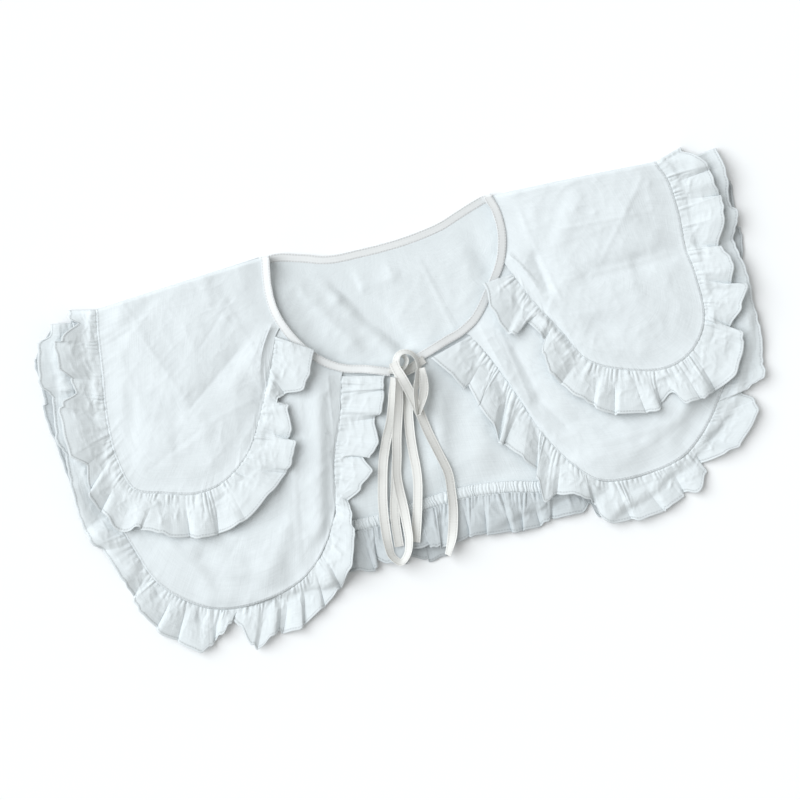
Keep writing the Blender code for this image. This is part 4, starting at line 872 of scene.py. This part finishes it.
lay_panel("upper_back_cloth", "back_upper_panel", backs["upper", "panel"], SHADED_BACK_COTTON)
lay_ruffle("upper_back_frill", "back_upper_ruffle", backs["upper", "ruffle"], SHADED_FRILL_COTTON)
lay_panel("lower_back_cloth", "back_lower_panel", backs["lower", "panel"],
          SHADED_BACK_COTTON)
lay_ruffle("elastic_casing", "back_elastic_casing", backs["lower", "casing"], SHADED_BACK_COTTON)
lay_ruffle("lower_back_frill", "back_lower_ruffle", backs["lower", "ruffle"], SHADED_FRILL_COTTON)
for (tier, side, kind), grid in fronts.items():
    beneath = "lower_back_cloth" if tier == "lower" else f"lower_{side}_cloth"
    if kind == "panel":
        lay_panel(f"{tier}_{side}_cloth", f"front_{tier}_{side}_panel", grid, PANEL_COTTON)
    else:
        lay_ruffle(f"{tier}_{side}_frill", f"front_{tier}_{side}_ruffle", grid, SHADED_RUFFLE_COTTON)


# Ties: cotton tape, folded to 8 mm and stitched along both edges, tied in a bow at the front of the neck. Its
# loops and ends lie down the opening.
TIE_WIDTH, TIE_THICK, TIE_CUP = 8.0, 0.4, 0.7
# Middle lines of the tape in plan. columns: x, y
TIE_LOOP_LONG = (
    (-16.5, 31), (-22, 12), (-28, -3), (-36, -18), (-43, -34), (-48, -50), (-53, -69), (-56, -87), (-57.5, -103),
    (-57, -112), (-51, -119), (-44, -114), (-39.5, -103), (-38, -90), (-37, -76), (-36.5, -61), (-35, -47),
    (-31, -33), (-27, -18), (-22, -3), (-17, 12), (-12.5, 30))
TIE_END_INNER = (
    (-11.6, 31), (-17, 12), (-22, -3), (-27, -18), (-31, -33), (-35.5, -47), (-40, -61), (-44, -73), (-46.5, -84),
    (-48, -96), (-49, -106))
TIE_END_SHORT = (
    (-8, 29.9), (-9, 12), (-12, 0), (-15, -16), (-17, -33), (-18, -47), (-20, -59), (-23, -70), (-27, -83),
    (-31, -95), (-35, -106))
TIE_END_LONG = (
    (-12.9, 43), (-11.8, 36.2), (-9.5, 28.7), (-7.3, 19.4), (-5.3, 9.4), (-3.2, -1.6), (-0.6, -20.5),
    (3, -38.8), (6.4, -57.8), (5.1, -72.2), (2.9, -86.3), (-0.6, -99.1), (-4.8, -110.9), (-11.7, -123.7))
TIE_LOOP_SHORT = (
    (8.4, 32.4), (7.7, 23.9), (5.7, 15), (1.5, 5.8), (-2.8, -1.7), (-4.7, -4.2), (-4.9, -1.1), (-3.7, 6.3),
    (-2.2, 14.5), (1.1, 23.2), (4.1, 31))
# The tape's edges get a painted highlight and its middle painted shade.
TAPE_COTTON = cotton("tape_cotton", (0.84, 0.84, 0.815), ((1.2, 2.2), (6.8, 2.2)), painted_rim_light=(MAP_MIDDLE, TIE_WIDTH / 2))
TAPE_BEARING, PINCH_REACH, DROP_REACH = 2.5, 9, 12  # mm along a tape
LEAST_FLAT, ROLL_LIFT = 0.3, 0.8  # of a rolled tape's width that still bears, and of its rise
CROSSING, CROSSING_SLOPE = 8, 0.3  # points before a loop comes over itself, and mm that each climbs
SLACK, SPAN = 4, 10  # points that a tape's roll is evened over, and that it bridges


def tape(name, node, rows, rolls, split=None, drop=(0.0, 0.0), pinched=(0.35, 0.0), step=1.5):
    """A tape laid on what is under it, pinched at the knot and rolled about its middle line.

    rolls are pairs of part of the length and degrees. split is the part at which a loop comes back over itself.
    drop lifts both ends and pinched narrows them.
    """
    line = Curve(rows)
    s = np.linspace(0, line.length, max(8, round(line.length / step) + 1))
    left = line.length - s
    xy, sideways = line.at(s), -line.right(s, TAPE_BEARING)
    narrowed = pinched[0] * np.exp(-(s / PINCH_REACH) ** 2) + pinched[1] * np.exp(-(left / PINCH_REACH) ** 2)
    width = TIE_WIDTH * (1 - narrowed)
    roll = evened(evened(np.radians(np.interp(s / line.length, *np.array(rolls, float).T)), SLACK), SLACK)
    rise = np.abs(np.sin(roll)) * width / 2
    z = np.zeros(len(s))
    stops = [0, len(s)] if split is None else [0, round(split * len(s)), len(s)]
    for a, b in zip(stops[:-1], stops[1:]):
        edges = strip(xy[a:b], sideways[a:b], (width * np.maximum(np.cos(roll), LEAST_FLAT))[a:b, None])
        under = PILE.cover(edges[..., 0], edges[..., 1], TRIM_CELLS).max(0)
        z[a:b] = under + AIR_GAP + TIE_THICK + rise[a:b] * ROLL_LIFT
        if a:
            climb = z[a] - np.arange(CROSSING, 0, -1) * CROSSING_SLOPE
            z[a - CROSSING:a] = np.maximum(z[a - CROSSING:a], climb)
        PILE.lay(np.dstack([edges, np.tile(z[a:b], (3, 1))]), TIE_THICK)
    for _ in range(4):
        z = np.maximum(z, evened(z, SPAN))
    z = evened(z, SLACK) + drop[0] * np.exp(-s / DROP_REACH) + drop[1] * np.exp(-left / DROP_REACH)
    centre = np.column_stack([xy, z])
    d = unit(np.gradient(centre, axis=0))
    flat = np.column_stack([sideways, np.zeros(len(s))])
    across = flat * np.cos(roll)[:, None] + np.cross(d, flat) * np.sin(roll)[:, None]
    piece = band(name, node, centre, across, np.cross(d, across), width,
                 oval(TIE_THICK, square=0.3, cup=TIE_CUP), TAPE_COTTON, "cotton_tape")
    return piece


tape("inner_tail", "tie_end_inner", TIE_END_INNER, ((0, 25), (0.5, 8), (1, -20)))
tape("short_tail", "tie_end_short", TIE_END_SHORT, ((0, 20), (0.3, 8), (0.6, 18), (1, 10)))

# The knot: the tape's wraps over each other. One stands on edge as a small open roll, and a curl lies in it.
# columns: x, y
KNOT_ROLL = (
    (-10.8, 17.8), (-11.6, 27.5), (-11.3, 37.8), (-9.7, 45.1), (-6.2, 48.5), (-1.4, 48.9), (3.1, 46.4),
    (6, 41.2), (6.4, 34.7), (3.8, 26.7), (-1.3, 17.8))
KNOT_CURL = (
    (-4.3, 47.5), (-2.1, 44.8), (-1.7, 41.2), (-4.1, 37.5), (-8, 34.3), (-10.9, 29.9))
KNOT_BASE = (
    (-18, 38.8), (-12.6, 36.4), (-6.4, 33.8), (-0.2, 34.3), (6.7, 37.2), (12.4, 39.1))
knot = [
    tape("knot_base", "neck_tie_knot", KNOT_BASE, ((0, -10), (1, 15)), pinched=(0.1, 0.1), step=1.0),
    tape("knot_curl", "neck_tie_knot", KNOT_CURL, ((0, 55), (1, 75)), pinched=(0.2, 0.0), step=1.0),
    tape("knot_roll", "neck_tie_knot", KNOT_ROLL, ((0, -12), (0.25, -35), (0.5, -62), (0.8, -66), (1, -45)),
         step=1.0)]
tape("long_loop", "tie_loop_long", TIE_LOOP_LONG,
     ((0, 40), (0.12, -16), (0.27, 10), (0.42, -14), (0.5, -58), (0.58, -32), (0.72, 22), (0.85, 8), (1, 40)),
     split=0.52, drop=(1.0, 0.5), pinched=(0.35, 0.35))
tape("long_tail", "tie_end_long", TIE_END_LONG,
     ((0, 20), (0.2, -6), (0.45, -24), (0.75, -18), (0.9, 10), (1, 65)), pinched=(0.0, 0.0))
tape("short_loop", "tie_loop_short", TIE_LOOP_SHORT,
     ((0, 30), (0.3, 12), (0.46, 70), (0.6, 66), (1, 62)), drop=(0.5, 0.5), pinched=(0.2, 0.2))
